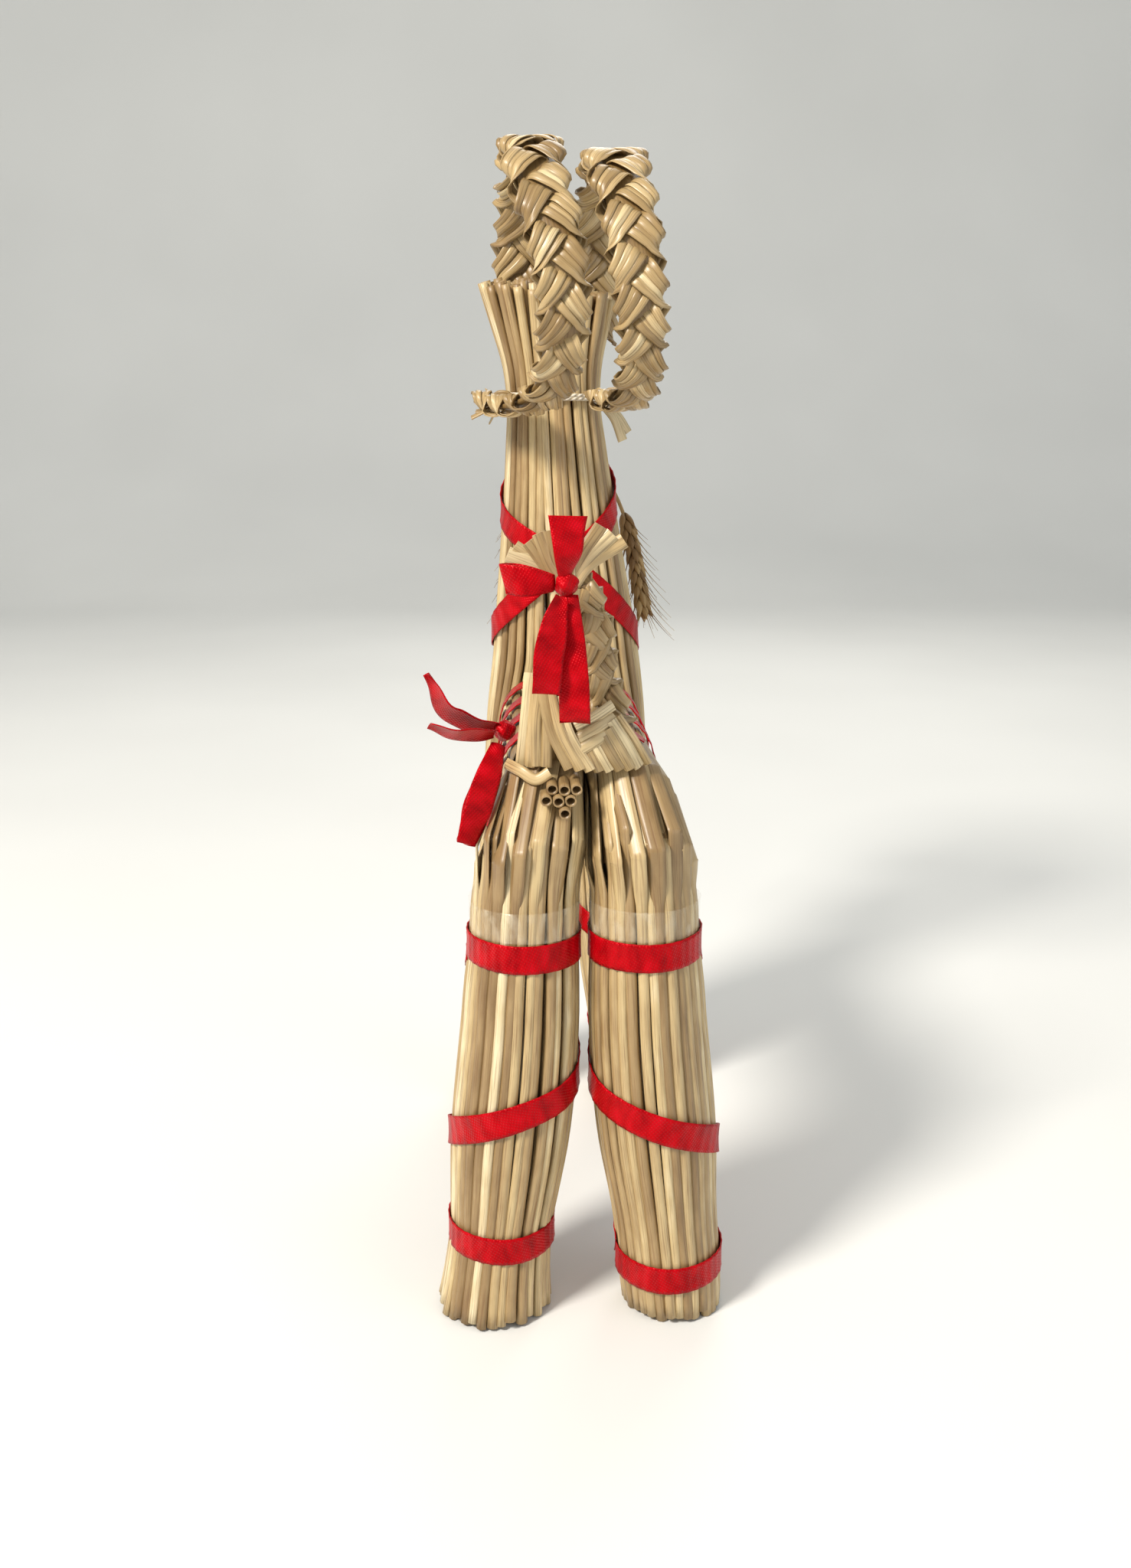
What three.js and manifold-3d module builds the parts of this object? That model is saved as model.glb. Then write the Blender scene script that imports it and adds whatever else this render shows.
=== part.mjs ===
// A straw yule goat, 400 mm tall: bundles of rye straw bound with red satin ribbon, with plaited
// horns, a plaited tail and a beard of wheat ears. Millimetres. X points to the goat's left, -Y to
// its front and Z up. The origin is on the floor, at the middle of the goat's overall box.
import * as THREE from "three";
import { mergeVertices } from "three/addons/utils/BufferGeometryUtils.js";
import Module from "manifold-3d";

const wasm = await Module();
wasm.setup();

// ---- Driving dimensions -------------------------------------------------------------------
const STANCE = 158; // hind feet to front feet
const HIND_Y = 117.8; // hind feet, so that the overall box is centred on the origin
const FRONT_Y = HIND_Y - STANCE; // front feet and neck
const GAP = 0.3; // between pieces that touch
const SEAM = 0.15; // each half of the body stops this far from the middle plane
const LEG_CLEAR = 1.3; // and each leg this far, to leave room for its ribbon

const RIBBON_WIDTH = 9.5;
const RIBBON_THICK = 0.6;
const TAPE_THICK = 0.3;
const STRAW_RADIUS = 1.8;
const STRAW_WALL = 0.45;

const LEG_TOP = 150; // where the hind straws start to bend forward
const BODY_AXIS = 173.5;
const BODY_HALF_WIDTH = 25.9;
const BODY_HALF_HEIGHT = 23.25;
const CHEST_TOP = 196; // where the two front legs join the neck
const TIE_HEIGHT = 305;
const CREST_TOP = 350;
const NECK_LEAN = 0.05; // the neck leans this much to the left for each millimetre of height

const HORN_RING = 42; // radius of the horn's middle line
const HORN_HALF_WIDTH = 10.6;
const HORN_HALF_THICK = 6.6;

const leanAt = (z) => NECK_LEAN * Math.max(0, z - CHEST_TOP);
const turn = (degrees) => THREE.MathUtils.degToRad(degrees);
const at = (x, y, z) => new THREE.Vector3(x, y, z);

// ---- Solids from rings of points ------------------------------------------------------------

// Signed volume of an indexed mesh: positive when its faces point out.
function volumeOf(geometry) {
  const p = geometry.getAttribute("position");
  const index = geometry.index.array;
  const [a, b, c] = [new THREE.Vector3(), new THREE.Vector3(), new THREE.Vector3()];
  let sum = 0;
  for (let i = 0; i < index.length; i += 3) {
    a.fromBufferAttribute(p, index[i]);
    b.fromBufferAttribute(p, index[i + 1]);
    c.fromBufferAttribute(p, index[i + 2]);
    sum += a.dot(b.cross(c)) / 6;
  }
  return sum;
}

// The same mesh with its faces pointing out.
function facingOut(geometry) {
  if (volumeOf(geometry) >= 0) return geometry;
  const index = Array.from(geometry.index.array);
  for (let i = 0; i < index.length; i += 3) [index[i], index[i + 1]] = [index[i + 1], index[i]];
  return geometry.setIndex(index);
}

function middleOf(ring) {
  return ring.reduce((sum, p) => sum.add(p), new THREE.Vector3()).divideScalar(ring.length);
}

// One closed solid through a row of rings. It is capped at both ends, or joined end to end if closed.
function loft(rings, closed = false) {
  const n = rings[0].length;
  const count = rings.length;
  const points = rings.flat();
  const faces = [];
  for (let k = 0; k < (closed ? count : count - 1); k++) {
    const here = k * n;
    const next = ((k + 1) % count) * n;
    for (let j = 0; j < n; j++) {
      const i = (j + 1) % n;
      faces.push(here + j, here + i, next + i, here + j, next + i, next + j);
    }
  }
  if (!closed) {
    points.push(middleOf(rings[0]), middleOf(rings[count - 1]));
    const [first, last] = [count * n, count * n + 1];
    for (let j = 0; j < n; j++) {
      const i = (j + 1) % n;
      faces.push(first, i, j);
      faces.push(last, (count - 1) * n + j, (count - 1) * n + i);
    }
  }
  return facingOut(new THREE.BufferGeometry().setFromPoints(points).setIndex(faces));
}

// An elliptical ring of n points about a centre, with half axes along u and v.
function ellipse(centre, u, v, n) {
  return Array.from({ length: n }, (_, j) => {
    const t = (2 * Math.PI * j) / n;
    return centre.clone().addScaledVector(u, Math.cos(t)).addScaledVector(v, Math.sin(t));
  });
}

// A value that runs smoothly through a few rows of [station, ...values].
function smooth(rows) {
  const size = rows[0].length - 1;
  const curve = new THREE.CubicInterpolant(
    rows.map((r) => r[0]),
    rows.flatMap((r) => r.slice(1)),
    size,
  );
  return (s) => Array.from(curve.evaluate(THREE.MathUtils.clamp(s, rows[0][0], rows.at(-1)[0])));
}

// A solid that follows a curve in space, its half axes given along the way by sizeAt(0 to 1).
// The first half axis stays close to the direction "wide".
function sweep(curve, steps, n, sizeAt, wide = at(1, 0, 0)) {
  const rings = [];
  for (let k = 0; k <= steps; k++) {
    const s = k / steps;
    const along = curve.getTangentAt(s);
    const v = new THREE.Vector3().crossVectors(along, wide).normalize();
    const u = new THREE.Vector3().crossVectors(v, along).normalize();
    const [a, b] = sizeAt(s);
    rings.push(ellipse(curve.getPointAt(s), u.multiplyScalar(a), v.multiplyScalar(b), n));
  }
  return loft(rings);
}

// A ribbon along a curve: a thin rectangle whose width lies along "wide", which may turn to wideEnd.
function strip(points, wide, { steps = 14, wideEnd = wide, width = RIBBON_WIDTH, pinch = 1 } = {}) {
  const curve = new THREE.CatmullRomCurve3(points);
  const rings = [];
  for (let k = 0; k <= steps; k++) {
    const s = k / steps;
    const along = curve.getTangentAt(s);
    const across = wide.clone().lerp(wideEnd, s);
    const out = new THREE.Vector3().crossVectors(along, across).normalize();
    across.crossVectors(out, along).normalize();
    const share = pinch + (1 - pinch) * Math.min(1, 4 * s);
    across.multiplyScalar((width / 2) * share);
    out.multiplyScalar(RIBBON_THICK / 2);
    const p = curve.getPointAt(s);
    rings.push([
      p.clone().add(across).add(out),
      p.clone().sub(across).add(out),
      p.clone().sub(across).sub(out),
      p.clone().add(across).sub(out),
    ]);
  }
  return loft(rings);
}

// ---- Cutting and joining --------------------------------------------------------------------
function solidOf(geometry) {
  const bare = new THREE.BufferGeometry()
    .setAttribute("position", geometry.getAttribute("position"))
    .setIndex(geometry.index);
  const merged = mergeVertices(bare, 1e-4);
  return new wasm.Manifold(
    new wasm.Mesh({
      numProp: 3,
      vertProperties: merged.getAttribute("position").array,
      triVerts: new Uint32Array(merged.index.array),
    }),
  );
}

function geometryOf(solid) {
  const made = solid.getMesh();
  return new THREE.BufferGeometry()
    .setAttribute("position", new THREE.BufferAttribute(made.vertProperties, 3))
    .setIndex(new THREE.BufferAttribute(made.triVerts, 1));
}

const cut = (geometry, ...tools) =>
  geometryOf(tools.reduce((s, tool) => s.subtract(solidOf(tool)), solidOf(geometry)));
// The biggest body of a cut piece: a sliver left on the far side of a cut is dropped.
function biggest(geometry) {
  const bodies = solidOf(geometry).decompose();
  return geometryOf(bodies.reduce((a, b) => (b.volume() > a.volume() ? b : a)));
}
const join = (...geometries) => geometryOf(geometries.map(solidOf).reduce((a, b) => a.add(b)));

// ---- Straw bundles --------------------------------------------------------------------------
// A bundle is a function of height that gives the middle [x, y] and half axes [rx, ry] of its section.

function hindLeg(side, footRadius) {
  const rows = smooth([
    [0, 31, 2, footRadius, footRadius],
    [16, 29.8, 1.5, 18.2, 18.4],
    [30, 28.4, 1, 18, 18],
    [64, 24.8, 0, 20.3, 20],
    [108, 21, -0.5, 19.7, 19.6],
    [133, 19.8, -0.5, 18.5, 18.6],
    [LEG_TOP, 19.1, -0.5, 17.8, 18],
  ]);
  return (z) => {
    const [x, y, rx, ry] = rows(z);
    return [side * Math.max(x, rx + LEG_CLEAR), HIND_Y + y, rx, ry];
  };
}

function frontLeg(side) {
  const rows = smooth([
    [0, 31, -1, 19.6, 19.4],
    [16, 29.4, -1, 17.6, 17.6],
    [30, 28, -1, 17.4, 17.4],
    [64, 24.6, 0, 18.8, 18.8],
    [108, 20.4, 0, 18.2, 18.6],
    [150, 18.4, 0, 17, 19.4],
    [CHEST_TOP - GAP, 17, 0, 15.6, 20.2],
  ]);
  return (z) => {
    const [x, y, rx, ry] = rows(z);
    return [side * Math.max(x, rx + LEG_CLEAR), FRONT_Y + y, rx, ry];
  };
}

// Below the tie the neck is round. Above it the crest spreads sideways and leans back.
const neckRows = smooth([
  [CHEST_TOP, 0, 31.6, 20.6],
  [222, 0, 28.4, 21],
  [248, 0, 25, 20.6],
  [285, 0, 20.6, 18.6],
  [TIE_HEIGHT, 0, 19, 17.5],
  [315, 4, 19.6, 13.4],
  [332, 7, 23.2, 12.2],
  [CREST_TOP, 9, 27.4, 13],
]);
function neck(z) {
  const [y, rx, ry] = neckRows(z);
  return [leanAt(z), FRONT_Y + y, rx, ry];
}

// A solid from a bundle between two heights, grown by "grow" all round.
function bundle(section, low, high, steps, n, grow = 0) {
  const rings = [];
  for (let k = 0; k <= steps; k++) {
    const z = THREE.MathUtils.lerp(low, high, k / steps);
    const [x, y, rx, ry] = section(z);
    rings.push(ellipse(at(x, y, z), at(rx + grow, 0, 0), at(0, ry + grow, 0), n));
  }
  return loft(rings);
}

// A point on a bundle's surface at an angle from +X towards +Y, lifted off it by "lift".
function onBundle(section, angle, z, lift) {
  const [x, y, rx, ry] = section(z);
  return at(x + (rx + lift) * Math.cos(angle), y + (ry + lift) * Math.sin(angle), z);
}

// A point on the body's surface at an angle from +X towards +Z.
function onBody(angle, y, lift) {
  return at(
    (BODY_HALF_WIDTH + lift) * Math.cos(angle),
    y,
    BODY_AXIS + (BODY_HALF_HEIGHT + lift) * Math.sin(angle),
  );
}

// A ribbon or tape wound on a surface. winding(0 to 1) gives [angle, station], and surface(angle,
// station, lift) the point there.
function wound(surface, winding, steps, width, thick, lift, closed = false) {
  const rings = [];
  for (let k = 0; k < (closed ? steps : steps + 1); k++) {
    const [angle, s] = winding(k / steps);
    const [low, high] = [s - width / 2, s + width / 2];
    rings.push([
      surface(angle, low, lift),
      surface(angle, high, lift),
      surface(angle, high, lift + thick),
      surface(angle, low, lift + thick),
    ]);
  }
  return loft(rings, closed);
}

function band(section, z, { width = RIBBON_WIDTH, thick = RIBBON_THICK, lift = GAP, tilt = 0 } = {}) {
  const surface = (angle, s, up) => onBundle(section, angle, s, up);
  const winding = (k) => [2 * Math.PI * k, z + tilt * Math.sin(2 * Math.PI * k)];
  return wound(surface, winding, 26, width, thick, lift, true);
}

// The leg ribbon is one length of ribbon: a band at the top, a winding down the leg, a band at the
// bottom. "side" is 1 on the left and -1 on the right, and the winding is mirrored with it.
function legRibbon(section, side, top, bottom, [quarter, half, threeQuarters]) {
  const drop = smooth([
    [-0.25, top - 2],
    [0.25, quarter],
    [0.5, half],
    [0.75, threeQuarters],
    [1.25, bottom + 2],
  ]);
  const surface = (angle, s, up) => onBundle(section, angle, s, up);
  // Turn 0.5 is the middle of the rear face: the winding comes from the inner side and falls outwards.
  const winding = (k) => {
    const turns = THREE.MathUtils.lerp(-0.25, 1.25, k);
    const outwards = Math.PI * (1 - 2 * (turns - 0.5 + 0.25));
    const angle = side > 0 ? outwards : Math.PI - outwards;
    return [angle, drop(turns)[0]];
  };
  const lifted = GAP + RIBBON_THICK / 2;
  return join(
    band(section, top),
    wound(surface, winding, 38, RIBBON_WIDTH, RIBBON_THICK, lifted),
    band(section, bottom, { tilt: 1 }),
  );
}

// ---- The pieces -----------------------------------------------------------------------------
const materials = {
  straw: new THREE.MeshStandardMaterial({ color: 0xd9bc86, roughness: 0.55, metalness: 0 }),
  flatStraw: new THREE.MeshStandardMaterial({ color: 0xcdb07a, roughness: 0.45, metalness: 0 }),
  wheat: new THREE.MeshStandardMaterial({ color: 0xb99a66, roughness: 0.75, metalness: 0 }),
  ribbon: new THREE.MeshStandardMaterial({ color: 0xc8102a, roughness: 0.35, metalness: 0 }),
  tape: new THREE.MeshStandardMaterial({ color: 0xf2ead8, roughness: 0.15, metalness: 0 }),
  string: new THREE.MeshStandardMaterial({ color: 0xe6dccb, roughness: 0.8, metalness: 0 }),
};
const goat = new THREE.Group();

function add(name, geometry, material) {
  const mesh = new THREE.Mesh(geometry, materials[material]);
  mesh.name = name;
  goat.add(mesh);
  return mesh;
}

// The hind straws rise from the foot, bend at the rump and run forward as one half of the body.
const CORE = { x: 7, z: 183.7, radius: 8.4 };
function coreChannel(fromY, toY) {
  const rings = [fromY, toY].map((y) =>
    ellipse(at(CORE.x, y, CORE.z), at(CORE.radius, 0, 0), at(0, 0, CORE.radius), 16),
  );
  return loft(rings);
}

const CHEST_Y = FRONT_Y + 21; // the body's front end, against the back of the front legs
function hindBundle(side, footRadius) {
  const section = hindLeg(side, footRadius);
  const n = 20;
  const rings = [];
  for (let k = 0; k <= 10; k++) {
    const z = (LEG_TOP * k) / 10;
    const [x, y, rx, ry] = section(z);
    rings.push(ellipse(at(x, y, z), at(side * rx, 0, 0), at(0, -ry, 0), n));
  }
  // Round the rump the section turns about a pivot in the crook of the bend, and goes from an
  // ellipse to a half disc.
  const pivot = at(0, HIND_Y - 22.5, LEG_TOP - 0.5);
  const outer = smooth([
    [0, 40, 17.9, 0],
    [22.5, 44.4, 17.6, 0.2],
    [45, 49.4, 16.8, 0.5],
    [67.5, 48.4, 14.4, 0.8],
    [90, BODY_AXIS + BODY_HALF_HEIGHT - pivot.z, BODY_HALF_WIDTH / 2, 1],
  ]);
  const bent = (degrees, y) => {
    const [reach, halfWidth, half] = outer(degrees);
    const near = THREE.MathUtils.lerp(4, BODY_AXIS - BODY_HALF_HEIGHT - pivot.z, half);
    const out = at(0, Math.cos(turn(degrees)), Math.sin(turn(degrees)));
    const foot = pivot.clone();
    if (y !== undefined) foot.y = y;
    const [centre, depth] = [(reach + near) / 2, (reach - near) / 2];
    return Array.from({ length: n }, (_, j) => {
      const t = (2 * Math.PI * j) / n;
      const round = SEAM + halfWidth * (1 + Math.cos(t));
      const flat = Math.max(SEAM, 2 * halfWidth * Math.cos(t));
      const x = side * THREE.MathUtils.lerp(round, flat, half);
      const d = centre - depth * Math.sin(t);
      return foot.clone().addScaledVector(out, d).setX(x);
    });
  };
  for (const degrees of [15, 30, 45, 60, 75, 90]) rings.push(bent(degrees));
  for (const y of [HIND_Y - 60, HIND_Y - 90, CHEST_Y]) rings.push(bent(90, y));
  return cut(loft(rings), coreChannel(CHEST_Y - 5, HIND_Y + 40));
}
const hindLeft = hindLeg(1, 19.6);
const hindRight = hindLeg(-1, 17);
const hindLeftBundle = hindBundle(1, 19.6);
const hindRightBundle = hindBundle(-1, 17);
add("hind_left_leg_straw", hindLeftBundle, "straw");
add("hind_right_leg_straw", hindRightBundle, "straw");

// The front legs stand side by side under the neck, and the body's core ends between them.
const frontLeft = frontLeg(1);
const frontRight = frontLeg(-1);
const CORE_FRONT_Y = FRONT_Y + 2;
for (const [name, section] of [["front_left", frontLeft], ["front_right", frontRight]]) {
  const leg = bundle(section, 0, CHEST_TOP - GAP, 14, 20);
  add(`${name}_leg_straw`, cut(leg, coreChannel(CORE_FRONT_Y - GAP, CHEST_Y + 5)), "straw");
}

// Seven straws run through the body from the chest and stick out at the rump, hollow ends showing.
const CORE_STRAWS = [
  [3.8, 3.1, 9.6],
  [0, 3.1, 11],
  [-3.8, 3.1, 10.4],
  [5.7, -0.05, 11.6],
  [1.9, -0.05, 13],
  [-1.9, -0.05, 12.4],
  [0, -3.2, 15.6],
];
function strawTube(x, z, fromY, toY) {
  const ring = (radius, y) =>
    ellipse(at(x, y, z), at(radius, 0, 0), at(0, 0, radius), 8);
  const inner = STRAW_RADIUS - STRAW_WALL;
  return loft(
    [ring(STRAW_RADIUS, fromY), ring(STRAW_RADIUS, toY), ring(inner, toY), ring(inner, fromY)],
    true,
  );
}
CORE_STRAWS.forEach(([x, z, stand], i) =>
  add(
    `core_straw_${i + 1}`,
    strawTube(CORE.x + x, CORE.z + z, CORE_FRONT_Y, HIND_Y + 2 + stand),
    "straw",
  ),
);

const neckBundle = bundle(neck, CHEST_TOP, CREST_TOP, 14, 20);
const neckRoom = bundle(neck, CHEST_TOP, CREST_TOP, 14, 20, GAP);
add("neck_straw", neckBundle, "straw");

// The head is the front half of the neck's straw, bent forward over the tie.
const HEAD_X = leanAt(325);
const headCurve = new THREE.CatmullRomCurve3([
  at(HEAD_X, FRONT_Y - 9, 308),
  at(HEAD_X, FRONT_Y - 14, 327),
  at(HEAD_X, FRONT_Y - 35, 336),
  at(HEAD_X, FRONT_Y - 64, 314),
  at(HEAD_X, FRONT_Y - 90, 283),
]);
const headSize = smooth([
  [0, 12, 7.5],
  [0.2, 14, 11],
  [0.45, 15.5, 14],
  [0.7, 13.2, 12.4],
  [0.88, 11.4, 11],
  [1, 12.8, 12.2],
]);
const head = cut(sweep(headCurve, 14, 18, headSize), neckRoom);
const headRoom = sweep(headCurve, 14, 18, (s) => headSize(s).map((r) => r + GAP));
add("head_straw", head, "straw");

// A band round the muzzle, made like the leg bands but along the head's curve.
function onHead(angle, s, lift) {
  const along = headCurve.getTangentAt(s);
  const v = new THREE.Vector3().crossVectors(along, at(1, 0, 0)).normalize();
  const [a, b] = headSize(s);
  return headCurve
    .getPointAt(s)
    .add(at((a + lift) * Math.cos(angle), 0, 0))
    .addScaledVector(v, (b + lift) * Math.sin(angle));
}
const headLength = headCurve.getLength();
add(
  "muzzle_ribbon",
  wound(onHead, (k) => [2 * Math.PI * k, 0.86], 28, RIBBON_WIDTH / headLength, RIBBON_THICK, GAP, true),
  "ribbon",
);

// ---- Horns: plaits that rise behind the head, arch backwards and end at the neck's tie ------
const HORN_Y = FRONT_Y + 33;
// The left horn's loop is a little taller than the right one's, and its tip hangs down.
function hornCurve(xAt, lastAngle, axis, rise, droop) {
  const points = [];
  for (let k = 0; k <= 12; k++) {
    const s = k / 12;
    const angle = turn(THREE.MathUtils.lerp(205, lastAngle, s));
    const fall = droop * Math.max(0, (s - 0.82) / 0.18) ** 2;
    points.push(
      at(xAt(s)[0], HORN_Y + HORN_RING * Math.cos(angle), axis + rise * Math.sin(angle) - fall),
    );
  }
  return new THREE.CatmullRomCurve3(points);
}
const hornSize = smooth([
  [0, 8.4, 6],
  [0.12, HORN_HALF_WIDTH, HORN_HALF_THICK],
  [0.45, 11, 6.8],
  [0.64, 10, HORN_HALF_THICK],
  [0.84, 8.2, 6.2],
  [1, 6.4, 5.8],
]);
const leftHorn = hornCurve(
  smooth([
    [0, 21],
    [0.2, 16.5],
    [0.36, 14],
    [0.5, 12.4],
    [0.64, 4.2],
    [0.73, 4],
    [0.86, 10.6],
    [1, 33],
  ]),
  -118,
  348.4,
  45,
  4.5,
);
const rightHorn = hornCurve(
  smooth([
    [0, -12],
    [0.36, -16],
    [0.5, -17],
    [0.64, -22],
    [0.78, -24.6],
    [0.88, -23],
    [1, -14],
  ]),
  -107,
  346.4,
  43,
  0,
);
for (const [name, curve] of [["left_horn", leftHorn], ["right_horn", rightHorn]]) {
  add(name, cut(sweep(curve, 34, 10, hornSize), neckRoom, headRoom), "flatStraw");
}

// ---- Neck tie, and its two flat ends on the right -------------------------------------------
add("neck_tie", band(neck, TIE_HEIGHT, { width: 2.6, thick: 1, lift: 2 * GAP }), "string");
const tieEnd = (name, reach, drop, back) =>
  add(
    name,
    strip(
      [
        at(leanAt(TIE_HEIGHT) - 21, FRONT_Y - back, 302),
        at(leanAt(TIE_HEIGHT) - 21 - reach / 2, FRONT_Y - back, 302 - drop / 3),
        at(leanAt(TIE_HEIGHT) - 21 - reach, FRONT_Y - back, 302 - drop),
      ],
      at(0, 1, 0).add(at(1, 0, 0.6)),
      { steps: 6, width: 5.4 },
    ),
    "flatStraw",
  );
tieEnd("neck_tie_end_1", 10, 11, 9.5);
tieEnd("neck_tie_end_2", 7.5, 14, 3.5);

// ---- Ribbons on the legs, neck and body ------------------------------------------------------
// Each leg's section, side, heights of its top and bottom bands, and heights of the winding at a
// quarter, a half and three quarters of a turn.
const LEGS = [
  ["hind_left", hindLeft, 1, 133, 30, [88, 78.5, 65]],
  ["hind_right", hindRight, -1, 133, 18, [86, 74, 60]],
  ["front_left", frontLeft, 1, 133, 27, [92, 80, 66]],
  ["front_right", frontRight, -1, 133, 25, [92, 80, 66]],
];
// Clear tape holds the straws together just above each top band.
const TAPE_WIDTH = 10;
for (const [name, section, side, top, bottom, winding] of LEGS) {
  add(`${name}_leg_ribbon`, legRibbon(section, side, top, bottom, winding), "ribbon");
  const tapeAt = top + RIBBON_WIDTH / 2 + GAP + TAPE_WIDTH / 2;
  if (name.startsWith("hind"))
    add(`${name}_leg_tape`, band(section, tapeAt, { width: TAPE_WIDTH, thick: TAPE_THICK }), "tape");
}

// One ribbon crosses at the back of the neck and again at the throat.
function neckWinding(direction) {
  const [first, last] = direction > 0 ? [262, 208] : [268, 210.5];
  const crossing = smooth([
    [-2, 290],
    [-1, first],
    [0, 241],
    [1, last],
    [2, 204.5],
  ]);
  return (k) => {
    const quarters = THREE.MathUtils.lerp(-1.97, 1.97, k);
    return [Math.PI / 2 + (direction * quarters * Math.PI) / 2, crossing(quarters)[0]];
  };
}
const onNeck = (angle, s, lift) => onBundle(neck, angle, s, lift);
add(
  "neck_ribbon",
  join(
    wound(onNeck, neckWinding(1), 32, RIBBON_WIDTH * 1.15, RIBBON_THICK, GAP),
    wound(onNeck, neckWinding(-1), 32, RIBBON_WIDTH * 1.15, RIBBON_THICK, GAP + RIBBON_THICK / 2),
  ),
  "ribbon",
);

// The body's ribbon winds from the rump to the chest.
const BODY_TURNS = 3.5;
const bodyWinding = (k) => [
  Math.PI * 0.75 - 2 * Math.PI * BODY_TURNS * k,
  THREE.MathUtils.lerp(HIND_Y - 30, CHEST_Y + 8, k),
];
add(
  "body_ribbon",
  wound(onBody, bodyWinding, 84, RIBBON_WIDTH, RIBBON_THICK, GAP + 0.1),
  "ribbon",
);

// ---- Tail: a plait that starts as a fan over the rump and ends in a tuft ---------------------
const TAIL_Y = HIND_Y - 4;
const fanRings = [
  [188, 0, 20.4, 8],
  [197, 2, 16.8, 7.6],
  [205.6, 4.2, 13.2, 6.6],
  [208.9, 4.5, 12.5, 6],
  [209.4, 10, 7.6, 5],
  [220.4, 11.4, 5.4, 3.4],
].map(([z, x, rx, ry]) => ellipse(at(x, TAIL_Y, z), at(rx, 0, 0), at(0, ry, 0), 18));
// A bundle and its copy moved up and back: what is cut by both stands clear of it.
const roomOver = (geometry) => [geometry, geometry.clone().translate(0, GAP, GAP)];
const fan = cut(
  loft(fanRings),
  ...roomOver(hindLeftBundle),
  ...roomOver(hindRightBundle),
  coreChannel(HIND_Y - 60, HIND_Y + 40),
);
add("tail_base", biggest(fan), "flatStraw");

const tailCurve = new THREE.CatmullRomCurve3([
  at(-7, TAIL_Y, 211.4),
  at(-5, TAIL_Y + 1, 222),
  at(-3.6, TAIL_Y + 3, 237),
  at(1.5, TAIL_Y + 5, 249),
]);
const tailSize = smooth([
  [0, 6.8, 5.4],
  [0.4, 5.6, 5],
  [0.8, 5.4, 4.6],
  [1, 4.8, 4.2],
]);
add("tail_plait", sweep(tailCurve, 12, 12, tailSize), "flatStraw");

const tuftRings = [
  [251.6, 5.4, 5.6, 4.6, 3.8],
  [256, 6.4, 6, 8.4, 3.2],
  [267, 8.4, 7, 16.6, 3.6],
].map(([z, x, y, rx, ry]) => ellipse(at(x, TAIL_Y + y, z), at(rx, 0, 0), at(0, ry, 0), 16));
add("tail_tuft", loft(tuftRings), "flatStraw");

// ---- Bows ------------------------------------------------------------------------------------
// A loop of ribbon that leaves a point, turns at the far end and comes back beside it.
function bowLoop(from, far, open, wide, options = {}) {
  const reach = far.clone().sub(from);
  const side = new THREE.Vector3().crossVectors(reach, wide).normalize().multiplyScalar(open);
  const point = (share, shift) => from.clone().addScaledVector(reach, share).addScaledVector(side, shift);
  const points = [
    point(0, 0.12),
    point(0.35, 0.5),
    point(0.8, 0.5),
    point(1, 0),
    point(0.8, -0.5),
    point(0.35, -0.5),
    point(0, -0.12),
  ];
  return strip(points, wide, { steps: 20, ...options });
}

function knot(centre, rx, ry, rz) {
  const ball = new THREE.SphereGeometry(1, 10, 8);
  ball.scale(rx, ry, rz);
  ball.translate(centre.x, centre.y, centre.z);
  for (const name of ["normal", "uv"]) ball.deleteAttribute(name);
  return mergeVertices(ball, 1e-4);
}

const tailKnot = at(6.4, TAIL_Y + 14.6, 250.6);
add("tail_bow_knot", knot(tailKnot, 4.6, 3, 4.2), "ribbon");
const fromTailKnot = (x, y, z) => tailKnot.clone().add(at(x, y, z));
add(
  "tail_bow_loop_left",
  bowLoop(fromTailKnot(5.6, 0, 0.4), fromTailKnot(19, -1.5, 1.6), 5, at(0, 0, 1), { pinch: 0.5 }),
  "ribbon",
);
add(
  "tail_bow_loop_down",
  bowLoop(fromTailKnot(-1.4, 0.4, -5.6), fromTailKnot(-2, 3.4, -42), 5, at(1, 0, 0), { pinch: 0.5 }),
  "ribbon",
);
add(
  "tail_bow_end_up",
  strip(
    [fromTailKnot(0, 1.4, 5.2), fromTailKnot(0.2, 2.4, 12), fromTailKnot(0.4, 1, 21)],
    at(1, 0.2, 0),
    { pinch: 0.45 },
  ),
  "ribbon",
);
add(
  "tail_bow_end_down",
  strip(
    [fromTailKnot(2.4, 3.8, -5), fromTailKnot(5, 7.8, -17), fromTailKnot(6.6, 8.2, -32)],
    at(1, 0.35, 0.1),
    { pinch: 0.4, width: RIBBON_WIDTH - 0.5 },
  ),
  "ribbon",
);

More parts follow.
